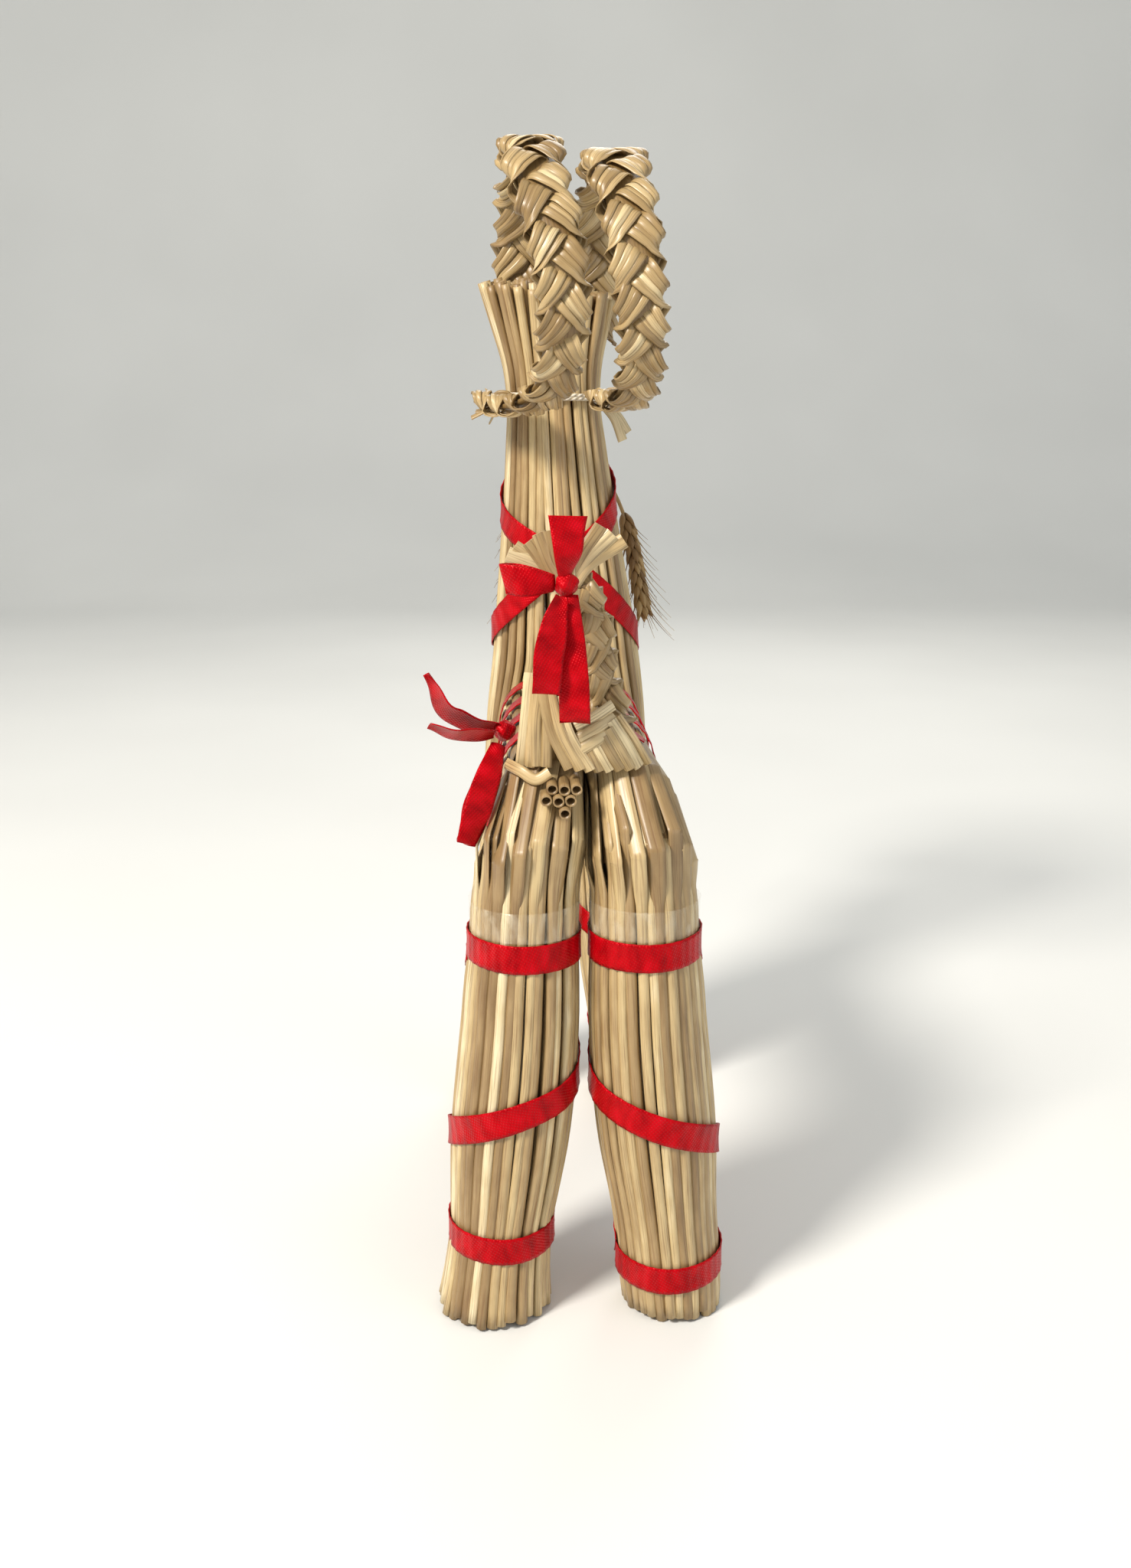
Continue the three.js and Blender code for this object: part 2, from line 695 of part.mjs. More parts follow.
const bodyKnot = at(25.5, HIND_Y - 10, 201);
add("body_bow_knot", knot(bodyKnot, 4, 3.6, 3.8), "ribbon");
const fromBodyKnot = (x, y, z) => bodyKnot.clone().add(at(x, y, z));
add(
  "body_bow_loop",
  bowLoop(fromBodyKnot(2.4, 5, -5), fromBodyKnot(12.4, 22, -31), 5, at(0.85, -0.1, 0.5), {
    pinch: 0.5,
  }),
  "ribbon",
);
add(
  "body_bow_end_upper",
  strip(
    [fromBodyKnot(4.6, 0.6, 1.4), fromBodyKnot(12.6, 3, 5), fromBodyKnot(23.6, 5, 20)],
    at(0, 0.9, 0.5),
    { pinch: 0.5 },
  ),
  "ribbon",
);
add(
  "body_bow_end_lower",
  strip(
    [fromBodyKnot(5, 3, 0.2), fromBodyKnot(13, 7.4, 0.4), fromBodyKnot(23.6, 9.4, 4)],
    at(0, 0.6, 0.8),
    { pinch: 0.45, width: RIBBON_WIDTH - 1 },
  ),
  "ribbon",
);

// ---- Beard: five ears of wheat, tied under the muzzle band -----------------------------------
// Each ear's tip (across, forward of the front legs, height), and how far its stalk bows outwards.
const EARS = [
  [-35.5, -15, 211, -8.5],
  [-12, -50, 208, 0],
  [3, -61, 203, 0],
  [14, -52, 209, 0],
  [22, -29, 214, 2],
];
const EAR_LENGTH = 50;
EARS.forEach(([x, forward, tip, bow], i) => {
  const root = at(HEAD_X + (i - 2) * 3.4, FRONT_Y - 61, 297 - Math.abs(i - 2));
  const end = at(x, FRONT_Y + forward, tip);
  const shoulder = root.clone().lerp(end, 0.4);
  shoulder.z += 7 - 2 * Math.abs(i - 2);
  shoulder.x += bow;
  const curve = new THREE.CatmullRomCurve3([root, shoulder, end]);
  const start = 1 - EAR_LENGTH / curve.getLength();
  const size = smooth([
    [0, 1, 1],
    [start - 0.04, 1, 1],
    [start + 0.1, 4.6, 3.4],
    [start + 0.34, 5, 3.6],
    [0.94, 2.6, 2],
    [1, 0.6, 0.6],
  ]);
  add(`beard_ear_${i + 1}`, cut(sweep(curve, 12, 8, size), headRoom), "wheat");
});

export default goat;
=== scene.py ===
"""Looks of the straw yule goat: straw by straw, ribbon by ribbon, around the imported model.

Lengths in this file are millimetres until a mesh is made. +X is the goat's left, -Y its front.
"""
import math

import bpy
import numpy as np
from mathutils import Matrix, Vector


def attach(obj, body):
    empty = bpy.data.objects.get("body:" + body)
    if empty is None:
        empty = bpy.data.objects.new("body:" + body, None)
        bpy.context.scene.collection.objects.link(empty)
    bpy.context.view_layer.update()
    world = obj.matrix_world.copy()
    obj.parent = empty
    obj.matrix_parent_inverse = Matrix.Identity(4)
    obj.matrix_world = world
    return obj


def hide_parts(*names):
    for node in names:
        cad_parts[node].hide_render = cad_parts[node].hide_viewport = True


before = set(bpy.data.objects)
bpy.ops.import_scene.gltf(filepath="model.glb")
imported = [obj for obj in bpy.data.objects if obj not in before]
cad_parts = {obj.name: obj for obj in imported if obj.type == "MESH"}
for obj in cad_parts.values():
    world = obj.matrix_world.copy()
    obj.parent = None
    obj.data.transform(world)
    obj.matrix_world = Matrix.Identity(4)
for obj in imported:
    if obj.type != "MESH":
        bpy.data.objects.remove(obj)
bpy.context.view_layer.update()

MM = 0.001
TAU = 2 * math.pi

# ---- Sizes, as the model has them ----
HIND_Y = 117.8
FRONT_Y = HIND_Y - 158
SEAM = 0.15
LEG_CLEAR = 1.3
RIBBON_WIDTH = 9.5
STRAW_RADIUS = 1.8
STRAW_WALL = 0.42
LEG_TOP = 150
BODY_AXIS = 173.5
BODY_HALF_WIDTH = 25.9
BODY_HALF_HEIGHT = 23.25
# The straws stand a little outside the plain body's ellipse, most of all at its shoulders.
BODY_WIDER = 1.05
FULLER = 0.74  # the power that sine and cosine are taken to
CHEST_TOP = 196
CHEST_Y = FRONT_Y + 21
TIE_HEIGHT = 305
CREST_TOP = 350
NECK_LEAN = 0.05
TAIL_Y = HIND_Y - 4


# ---- Arithmetic on whole arrays ----
def unit(v):
    """Each vector divided by its length."""
    return v / np.maximum(np.linalg.norm(v, axis=-1, keepdims=True), 1e-9)


def ease(x):
    """0 below 0, 1 above 1, and the S-curve 3x^2 - 2x^3 between."""
    x = np.clip(x, 0, 1)
    return x * x * (3 - 2 * x)


def to_power(wave, power):
    """A sine or cosine taken to a power, with its sign kept."""
    return np.sign(wave) * np.abs(wave) ** power


def smooth(rows):
    """A function that runs through rows of (station, values): a cubic between each two rows, whose slope at
    a row is that of the line between its neighbours. It stays at the first and last value outside them."""
    rows = np.array(rows, float)
    at, values = rows[:, 0], rows[:, 1:]
    slope = np.gradient(values, at, axis=0)

    def value(s):
        s = np.clip(np.asarray(s, float), at[0], at[-1])
        i = np.clip(np.searchsorted(at, s, side="right") - 1, 0, len(at) - 2)
        h = (at[i + 1] - at[i])[..., None]
        u = (s - at[i])[..., None] / h
        return (
            values[i] * (1 + 2 * u) * (1 - u) ** 2
            + values[i + 1] * u * u * (3 - 2 * u)
            + h * u * (1 - u) * (slope[i] * (1 - u) - slope[i + 1] * u)
        )

    return value


def through(points):
    """A smooth line through points, as a function of the distance along its chords, and that length."""
    points = np.array(points, float)
    chords = np.linalg.norm(np.diff(points, axis=0), axis=1)
    at = np.concatenate([[0], np.cumsum(chords)])
    return smooth(np.column_stack([at, points])), at[-1]


def xyz(x, y, z):
    return np.stack(np.broadcast_arrays(x, y, z), axis=-1).astype(float)


def dice(seed):
    return np.random.default_rng(seed)


# ---- Pieces ----
class Shape:
    """The skins that make up one piece, gathered before its mesh is made."""

    def __init__(self):
        self.points, self.tints, self.faces, self.count = [], [], [], 0

    def skin(self, rings, tint=0.5, closed=False, hard=(), seed=0, along=None):
        """Skins over rows of rings, (skins, rings, points, 3): each ring's points join the next ring's, and
        the end rings are capped, or joined to each other if closed. A skin's pattern coordinates are
        the way round it and the way along it in centimetres, each moved by a random amount."""
        n, m, k = rings.shape[:3]
        index = self.count + np.arange(n * m * k).reshape(n, m, k)
        self.count += n * m * k
        ahead = np.roll(index, -1, axis=1) if closed else index[:, 1:]
        here = index if closed else index[:, :-1]
        quads = np.stack([here, ahead, np.roll(ahead, -1, 2), np.roll(here, -1, 2)], -1)
        first = index[:, 0]
        last = index[:, -1, ::-1]
        # Turned round if the volume under the faces comes out negative.
        flat = rings.reshape(-1, 3)
        corner = flat[quads[0].reshape(-1, 4) - index[0, 0, 0]]
        corner = corner - rings[0].reshape(-1, 3).mean(0)
        halves = [corner[:, [0, 1, 2]], corner[:, [0, 2, 3]]]
        volume = sum((h[:, 0] * np.cross(h[:, 1], h[:, 2])).sum() for h in halves)
        turned = volume < 0
        # Pattern coordinates, in centimetres.
        middle = rings.mean(2)
        step = np.linalg.norm(np.diff(middle, axis=1, append=middle[:, :1]), axis=2)
        v = np.concatenate([np.zeros((n, 1)), np.cumsum(step, axis=1)], axis=1) / 10
        if along is not None:
            v[:, :m] = along / 10
        sides = np.linalg.norm(rings - np.roll(rings, -1, 2), axis=3)
        round_it = sides.sum(2).max(axis=1)[:, None] / 10
        u = np.arange(k + 1)[None] / k * round_it
        moved = dice(seed + 91).uniform(0, 40, (2, n, 1))
        u, v = u + moved[0], v + moved[1]
        rows = quads.shape[1]
        low, high = v[:, :rows, None], v[:, 1 : rows + 1, None]
        left, right = u[:, None, :-1], u[:, None, 1:]
        pattern = np.stack(
            [
                np.stack(np.broadcast_arrays(a, b), -1)
                for a, b in ((left, low), (left, high), (right, high), (right, low))
            ],
            axis=3,
        )
        soft = np.ones(quads.shape[:3], bool)
        if len(hard):
            soft[:, list(hard)] = False
        quads, pattern = quads.reshape(-1, 4), pattern.reshape(-1, 4, 2)
        if turned:
            quads, pattern = quads[:, ::-1], pattern[:, ::-1]
            first, last = first[:, ::-1], last[:, ::-1]
        self.faces.append((quads, pattern, soft.ravel()))
        if not closed:
            angle = TAU * np.arange(k) / k
            disc = np.column_stack([np.cos(angle), np.sin(angle)]) * round_it[0] / TAU
            for cap in (first, last):
                self.faces.append((cap, np.tile(disc, (n, 1, 1)), np.zeros(n, bool)))
        self.points.append(flat)
        tint = np.broadcast_to(np.asarray(tint, float).reshape(-1, 1, 1), (n, m, k))
        self.tints.append(tint.ravel())

    def mesh(self, name):
        points = np.concatenate(self.points) * MM
        corners = np.concatenate([f.ravel() for f, _, _ in self.faces])
        sizes = np.concatenate([np.full(len(f), f.shape[1]) for f, _, _ in self.faces])
        mesh = bpy.data.meshes.new(name)
        mesh.vertices.add(len(points))
        mesh.vertices.foreach_set("co", points.ravel())
        mesh.loops.add(len(corners))
        mesh.loops.foreach_set("vertex_index", corners.astype(np.int32))
        mesh.polygons.add(len(sizes))
        starts = np.concatenate([[0], np.cumsum(sizes)[:-1]])
        mesh.polygons.foreach_set("loop_start", starts.astype(np.int32))
        soft = np.concatenate([s for _, _, s in self.faces])
        mesh.polygons.foreach_set("use_smooth", soft)
        mesh.update(calc_edges=True)
        uv = mesh.uv_layers.new(name="pattern")
        uv.data.foreach_set("uv", np.concatenate([p.ravel() for _, p, _ in self.faces]))
        tint = mesh.attributes.new("tint", "FLOAT", "POINT")
        tint.data.foreach_set("value", np.concatenate(self.tints))
        mesh.validate()
        return mesh


def piece(name, shape, finish):
    """A piece in its place, riding on the goat, in place of its plain solid."""
    made = bpy.data.objects.new("fine_" + name, shape.mesh("fine_" + name))
    bpy.context.scene.collection.objects.link(made)
    made.data.materials.append(finish)
    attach(made, "root")
    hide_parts(name)
    return made


def rods(shape, centre, out, wide, thick, hollow=(0, 0), sides=8, tint=0.5, seed=0, part=None):
    """Rods carried along paths (rods, steps, 3). A point of the skin at angle a is the path's point
    + wide cos a across + thick sin a outwards. A hollow end turns in over its rim, and its wall goes
    "hollow" millimetres down the inside; a solid end has a second ring just behind it, which keeps
    its edge crisp. "part" keeps only those steps."""
    along = unit(np.gradient(centre, axis=1))
    across = unit(np.cross(along, out))
    up = np.cross(across, along)
    wide = np.broadcast_to(wide, centre.shape[:2])
    thick = np.broadcast_to(thick, centre.shape[:2])
    run = np.linalg.norm(np.diff(centre, axis=1, prepend=centre[:, :1]), axis=2).cumsum(axis=1)
    part = part or slice(None)
    centre, along, across, up = centre[:, part], along[:, part], across[:, part], up[:, part]
    wide, thick, run = wide[:, part], thick[:, part], run[:, part]
    steps = centre.shape[1]
    order = np.arange(steps)
    push, shrink, hard = np.zeros(steps), np.zeros(steps), []
    if hollow[0]:
        order = np.concatenate([[0, 0], order])
        push = np.concatenate([[hollow[0], 0], push])
        shrink = np.concatenate([[STRAW_WALL] * 2, shrink])
        hard.append(1)
    else:
        order, shrink = np.append(0, order), np.append(0, shrink)
        push = np.append([0, 0.05], push[1:])
    if hollow[1]:
        order = np.concatenate([order, [steps - 1, steps - 1]])
        push = np.concatenate([push, [0, -hollow[1]]])
        shrink = np.concatenate([shrink, [STRAW_WALL] * 2])
        hard.append(len(order) - 3)
    else:
        order, shrink = np.append(order, steps - 1), np.append(shrink, 0)
        push = np.append(push[:-1], [-0.05, 0])
    wide = np.maximum(wide[:, order] - shrink, 0.08)[..., None, None]
    thick = np.maximum(thick[:, order] - shrink, 0.08)[..., None, None]
    middle = centre[:, order] + push[:, None] * along[:, order]
    a = (TAU * (np.arange(sides) + 0.5) / sides)[:, None]
    rings = (
        middle[:, :, None]
        + wide * np.cos(a) * across[:, order, None]
        + thick * np.sin(a) * up[:, order, None]
    )
    shape.skin(rings, tint=tint, hard=hard, seed=seed, along=run[:, order] - push)


def ribbon(shape, centre, across, up, half_width, cup, columns=9, closed=False, seed=0):
    """A ribbon along one path (steps, 3). A point at u from -1 to 1 across it is the path's point
    + u half_width across + cup (u^2 - 1/3) up, and its skin lies half its thickness above and below
    that. The woven edges are a little thicker than the middle."""
    u = np.linspace(-1, 1, columns)
    half = 0.14 + 0.1 * np.exp(-(((np.abs(u) - 0.96) / 0.07) ** 2))
    u, half = np.concatenate([u, u[::-1]]), np.concatenate([half, -half])
    half_width = np.broadcast_to(half_width, centre.shape[:1])[:, None, None]
    cup = np.broadcast_to(cup, centre.shape[:1])[:, None, None]
    lift = cup * (u[:, None] ** 2 - 1 / 3) + half[:, None]
    rings = centre[:, None] + u[:, None] * half_width * across[:, None] + lift * up[:, None]
    shape.skin(rings[None], closed=closed, seed=seed)


# ---- Bundle surfaces ----
# Each is a function of (angle, station, lift) that gives the point that far off the bundle's skin.
def leg_on(rows, side, y0):
    """An ellipse at each height: x = side (cx + rx cos t), y = y0 + cy - ry sin t."""
    rows = smooth(rows)

    def surface(t, z, lift):
        x, y, rx, ry = np.moveaxis(rows(z), -1, 0)
        x = np.maximum(x, rx + LEG_CLEAR)
        return xyz(side * (x + (rx + lift) * np.cos(t)), y0 + y - (ry + lift) * np.sin(t), z)

    return surface


def hind_rows(foot):
    return [
        (0, 31, 2, foot, foot), (16, 29.8, 1.5, 18.2, 18.4), (30, 28.4, 1, 18, 18), (64, 24.8, 0, 20.3, 20),
        (108, 21, -0.5, 19.7, 19.6), (133, 19.8, -0.5, 18.5, 18.6), (LEG_TOP, 19.1, -0.5, 17.8, 18),
    ]


FRONT_ROWS = [
    (0, 31, -1, 19.6, 19.4), (16, 29.4, -1, 17.6, 17.6), (30, 28, -1, 17.4, 17.4), (64, 24.6, 0, 18.8, 18.8),
    (108, 20.4, 0, 18.2, 18.6), (LEG_TOP, 18.4, 0, 17, 19.4), (195.7, 17, 0, 15.6, 20.2),
]
# Height, how far back its middle lies, half its width and half its depth.
NECK_ROWS = [
    (CHEST_TOP - 22, 0, 34, 20.4), (CHEST_TOP, 0, 31.6, 20.6), (222, 0, 28.4, 21), (248, 0, 25, 20.6),
    (285, 0, 20.6, 18.6), (TIE_HEIGHT, 0, 19, 17.5), (315, 4, 19.6, 13.4), (332, 7, 23.2, 12.2),
    (CREST_TOP, 9, 27.4, 13),
]
neck_rows = smooth(NECK_ROWS)


def lean(z):
    """How far the neck's middle has moved to the left at a height: it starts gently."""
    rise = np.maximum(0, z - CHEST_TOP)
    return NECK_LEAN * (rise - 8 * (1 - np.exp(-rise / 8)))


def neck_surface(t, z, lift):
    """An ellipse at each height, its middle leaning to the left; t runs from +X towards the back."""
    y, rx, ry = np.moveaxis(neck_rows(z), -1, 0)
    return xyz(lean(z) + (rx + lift) * np.cos(t), FRONT_Y + y + (ry + lift) * np.sin(t), z)


def half_neck(side):
    """A front leg that turns into one half of the neck: the leg's ellipse eases into the half disc
    between heights 150 and 204."""
    leg = leg_on(FRONT_ROWS, side, FRONT_Y)

    def surface(t, z, lift):
        y, rx, ry = np.moveaxis(neck_rows(z), -1, 0)
        x = np.maximum(SEAM, rx * np.cos(t)) + lift * np.cos(t)
        half = xyz(lean(z) + side * x, FRONT_Y + y - (ry + lift) * np.sin(t), z)
        share = ease((np.asarray(z) - LEG_TOP) / 54)[..., None]
        return leg(t, z, lift) * (1 - share) + half * share

    return surface


PIVOT_Y, PIVOT_Z = HIND_Y - 22.5, LEG_TOP - 0.5
BODY_TOP = BODY_AXIS + BODY_HALF_HEIGHT
# Degrees round the rump, how far it reaches from the pivot, half of its width, and how much it is body.
BEND_ROWS = [
    (0, 40, 17.9, 0), (22.5, 44.4, 17.6, 0.2), (45, 49.4, 16.8, 0.5), (67.5, 48.4, 14.4, 0.8),
    (90, BODY_TOP - PIVOT_Z, BODY_HALF_WIDTH / 2, 1),
]
bend_rows = smooth(BEND_ROWS)
BEND = 90  # the stations from the top of the leg to the body, one for each degree
HIND_LENGTH = LEG_TOP + BEND + PIVOT_Y - CHEST_Y


def hind_surface(side, foot):
    """A hind leg to station 150, then a quarter turn about the crook of the rump to station 240, then
    one half of the body. In the turn a section reaches from "near" to "reach" from the pivot and eases
    from an ellipse to half of the body's section, with its fuller shoulders. The leg's own upright line
    fades out over the first 24 degrees."""
    leg = leg_on(hind_rows(foot), side, HIND_Y)

    def surface(t, s, lift):
        s = np.asarray(s, float)
        degrees = np.clip(s - LEG_TOP, 0, BEND)
        forward = np.maximum(s - LEG_TOP - BEND, 0)
        reach, half_width, half = np.moveaxis(bend_rows(degrees), -1, 0)
        near = 4 * (1 - half) + (BODY_AXIS - BODY_HALF_HEIGHT - PIVOT_Z) * half
        fuller = 1 - (1 - FULLER) * half
        round_x = SEAM + half_width * (1 + np.cos(t))
        flat_x = np.maximum(SEAM, 2 * BODY_WIDER * half_width * to_power(np.cos(t), fuller))
        flatter = ease((s - LEG_TOP - 32) / 105)
        x = round_x * (1 - flatter) + flat_x * flatter + lift * np.cos(t)
        d = (reach + near) / 2 - ((reach - near) / 2 + lift) * to_power(np.sin(t), fuller)
        turn = np.radians(degrees)
        bent = xyz(side * x, PIVOT_Y - forward + np.cos(turn) * d, PIVOT_Z + np.sin(turn) * d)
        share = ease((s - LEG_TOP) / 24)[..., None]
        upright = np.minimum(s, LEG_TOP) + 0.72 * degrees
        return leg(t, upright, lift) * (1 - share) + bent * share

    return surface


def body_surface(t, y, lift):
    """The body's section, an ellipse with fuller shoulders: x = 1.05 a cos^0.74 t, z = b sin^0.74 t,
    with the signs kept; t runs from +X towards +Z."""
    across = (BODY_WIDER * BODY_HALF_WIDTH + lift) * to_power(np.cos(t), FULLER)
    return xyz(across, y, BODY_AXIS + (BODY_HALF_HEIGHT + lift) * to_power(np.sin(t), FULLER))


class Spine:
    """A line through points with a frame: "side" stays near +X and "up" is square to it."""

    def __init__(self, points):
        self.line, self.length = through(points)

    def frame(self, s):
        s = np.asarray(s, float)
        along = unit(self.line(s + 0.5) - self.line(s - 0.5))
        up = unit(np.cross(along, (1.0, 0.0, 0.0)))
        return self.line(s), np.cross(up, along), up, along


def spine_surface(spine, sizes):
    """A swept ellipse: the spine's point + rx cos t side + ry sin t up, at s millimetres along it."""

    def surface(t, s, lift):
        t, s = np.broadcast_arrays(t, np.asarray(s, float))
        middle, side, up, _ = spine.frame(s)
        rx, ry = np.moveaxis(sizes(s / spine.length), -1, 0)
        return (
            middle
            + ((rx + lift) * np.cos(t))[..., None] * side
            + ((ry + lift) * np.sin(t))[..., None] * up
        )

    return surface


# ---- Straw layers and windings ----
def spread(n, phase, jitter, seed):
    """n angles evenly round a circle, each moved by up to that share of its spacing."""
    draw = dice(seed)
    return TAU * (np.arange(n) + phase + draw.uniform(-jitter, jitter, n)) / n


def pinch(s, places):
    """How far straws are pressed in under bands at those stations: a bell curve 0.55 deep at each."""
    return sum(0.55 * np.exp(-(((s - place) / 6) ** 2)) for place in places)


def laid_on(surface, angle, s, lift):
    """Paths on a surface, and the way out of it at each of their points."""
    centre = surface(angle, s, lift)
    return centre, unit(surface(angle, s, lift + 0.5) - centre)


def wrap(shape, surface, t, s, lift=0.45, width=RIBBON_WIDTH, ripple=0.1, straw=0.19, closed=False, seed=0):
    """A ribbon wound on a surface along (t, s). Its half width is measured square to its own run, and it
    rises and falls a little over the straws beneath, "straw" radians apart."""
    middle = surface(t, s, lift)
    along = unit(np.gradient(middle, axis=0))
    if closed:
        along = unit(np.roll(middle, -1, 0) - np.roll(middle, 1, 0))
    up = unit(surface(t, s, lift + 1) - middle)
    across = unit(np.cross(along, up))
    up = np.cross(across, along)
    draw = dice(seed)
    phase = draw.uniform(0, TAU, 4)
    lifts = ripple * np.sin(t * TAU / straw + phase[0] + 0.8 * np.sin(3 * t + phase[1]))
    lifts = lifts + 0.12 * np.sin(5 * t + phase[2])
    middle = middle + lifts[:, None] * up
    ribbon(shape, middle, across, up, width / 2, 0.1, closed=closed, seed=seed)


def ring_of(shape, surface, s, tilt=0.0, steps=150, **options):
    t = np.linspace(0, TAU, steps, endpoint=False)
    wrap(shape, surface, t, s + tilt * np.sin(t + 0.6), closed=True, **options)


# ---- Finishes ----
def hex_colour(code):
    """An sRGB hex colour as linear red, green, blue and alpha."""
    srgb = [int(code[i : i + 2], 16) / 255 for i in (1, 3, 5)]
    return tuple(c / 12.92 if c <= 0.04045 else ((c + 0.055) / 1.055) ** 2.4 for c in srgb) + (1.0,)


def node(tree, kind, inputs=None, out=0, stops=(), **settings):
    """Adds a node: its settings, its inputs (each a link, a value or a hex colour), and a colour ramp's
    stops, each a place with a hex colour or a grey level. It gives the output named or numbered "out"."""
    made = tree.nodes.new("ShaderNode" + kind)
    for name, value in settings.items():
        setattr(made, name, value)
    for name, value in (inputs or {}).items():
        if isinstance(value, bpy.types.NodeSocket):
            tree.links.new(value, made.inputs[name])
        else:
            made.inputs[name].default_value = hex_colour(value) if isinstance(value, str) else value
    if stops:
        elements = made.color_ramp.elements
        while len(elements) < len(stops):
            elements.new(0.5)
        for element, (place, colour) in zip(elements, stops):
            element.position = place
            element.color = hex_colour(colour) if isinstance(colour, str) else (colour,) * 3 + (1,)
    return made.outputs[out]


MIX_A, MIX_B, MIX_COLOUR = 6, 7, 2  # the colour sockets of a Mix node
WAVE = math.pi / 10  # a Wave texture's scale for one band to a centimetre


def new_finish(name):
    """An empty material, with the piece's pattern coordinates and each skin's own tint."""
    finish = bpy.data.materials.new(name)
    finish.use_nodes = True
    tree = finish.node_tree
    tree.nodes.clear()
    place = node(tree, "UVMap", uv_map="pattern")
    tint = node(tree, "Attribute", out="Fac", attribute_name="tint")
    return finish, tree, place, tint


def end_finish(tree, inputs):
    shader = node(tree, "BsdfPrincipled", inputs)
    output = tree.nodes.new("ShaderNodeOutputMaterial")
    tree.links.new(shader, output.inputs["Surface"])


def streaks(tree, place, stretch, detail=2.0):
    """Noise with that many waves to each centimetre round and along the piece."""
    scaled = node(tree, "Mapping", {"Vector": place, "Scale": (*stretch, 1)})
    return node(tree, "TexNoise", {"Vector": scaled, "Scale": 1.0, "Detail": detail})


def straw_finish(name, stops, fibre_dark, roughness, coat):
    """Dried cereal straw. The stem has a waxy skin over fibres that run its whole length, about
    0.4 mm apart, so it glints. Each stem has its own shade from drying, with long stains and brown flecks;
    the tint of stems that lie inside or under others is lowered as painted shade."""
    finish, tree, place, tint = new_finish(name)
    fibre = streaks(tree, place, (24, 0.45), 3.0)
    stain = streaks(tree, place, (1.8, 0.6), 4.0)
    fleck = streaks(tree, place, (13, 4))
    # The stem's tint, up to a quarter darker or lighter where it is stained.
    shade = node(tree, "Math", {0: stain, 1: 0.5, 2: tint}, operation="MULTIPLY_ADD")
    shade = node(tree, "Math", {0: shade, 1: 0.25}, operation="SUBTRACT")
    base = node(tree, "ValToRGB", {"Fac": shade}, stops=stops)
    for pattern, fade, dark in (
        (fibre, [(0.32, 0.6), (0.5, 0.0)], fibre_dark),
        (fleck, [(0.74, 0.0), (0.82, 0.55)], "#6f4722"),
    ):
        share = node(tree, "ValToRGB", {"Fac": pattern}, stops=fade)
        base = node(tree, "Mix", {0: share, MIX_A: base, MIX_B: dark}, MIX_COLOUR, data_type="RGBA")
    limits = {"To Min": roughness + 0.14, "To Max": roughness - 0.06}
    rough = node(tree, "MapRange", {"Value": fibre, **limits})
    bump = node(tree, "Bump", {"Height": fibre, "Strength": 0.4, "Distance": 0.0003})
    skin = {"IOR": 1.5, "Coat Weight": coat, "Coat Roughness": 0.28}
    end_finish(tree, {"Base Color": base, "Roughness": rough, "Normal": bump, **skin})
    return finish


# Whole rye stems, cut and dried: pale gold, some grey-beige, some browned.
RYE_SHADES = [(0.0, "#5c4526"), (0.25, "#80653f"), (0.5, "#a68b60"), (0.75, "#c8b182"), (1.0, "#ebdcb8")]
rye_straw = straw_finish("rye_straw", RYE_SHADES, "#6d4b28", 0.4, 0.22)
# Stems soaked, pressed flat and plaited: more tan, and a little glossier on their flat faces.
FLAT_SHADES = [(0.0, "#533b1e"), (0.25, "#7e633a"), (0.5, "#a0865a"), (0.75, "#bca273"), (1.0, "#dcc99e")]
flat_straw = straw_finish("pressed_rye_straw", FLAT_SHADES, "#5b3f20", 0.38, 0.3)


def ribbon_finish():
    """Woven polyester satin ribbon: smooth red floats that shine at a slant, and a weave turned 28
    degrees. Its ribs are 0.9 mm apart, coarser than a real satin's, so that they show."""
    finish, tree, place, tint = new_finish("red_satin_ribbon")
    turned = node(tree, "Mapping", {"Vector": place, "Rotation": (0, 0, math.radians(28))})
    wave = {"Vector": turned, "Scale": 11 * WAVE, "Distortion": 0.4}
    ribs = [node(tree, "TexWave", wave, "Fac", bands_direction=axis) for axis in ("X", "Y")]
    weave = node(tree, "Math", {0: ribs[0], 1: ribs[1]}, operation="MULTIPLY")
    soft = streaks(tree, place, (1.3, 2.2), 3.0)
    reds = [(0.3, "#860006"), (0.55, "#ab020c"), (0.8, "#c2081a")]
    base = node(tree, "ValToRGB", {"Fac": soft}, stops=reds)
    lit = node(tree, "Math", {0: weave, 1: 0.12, 2: 0.0}, operation="MULTIPLY_ADD")
    shaded = node(tree, "ValToRGB", {"Fac": tint}, stops=[(0.0, 0.55), (0.5, 0.0)])
    for share, colour in ((lit, "#e02c38"), (shaded, "#8a0410")):
        base = node(tree, "Mix", {0: share, MIX_A: base, MIX_B: colour}, MIX_COLOUR, data_type="RGBA")
    rough = node(tree, "Math", {0: weave, 1: 0.1, 2: 0.28}, operation="MULTIPLY_ADD")
    bump = node(tree, "Bump", {"Height": weave, "Strength": 0.6, "Distance": 0.0002})
    gloss = {"Specular IOR Level": 0.6, "Specular Tint": "#ff5058", "Anisotropic": 0.6}
    end_finish(tree, {"Base Color": base, "Roughness": rough, "Normal": bump, **gloss})
    return finish


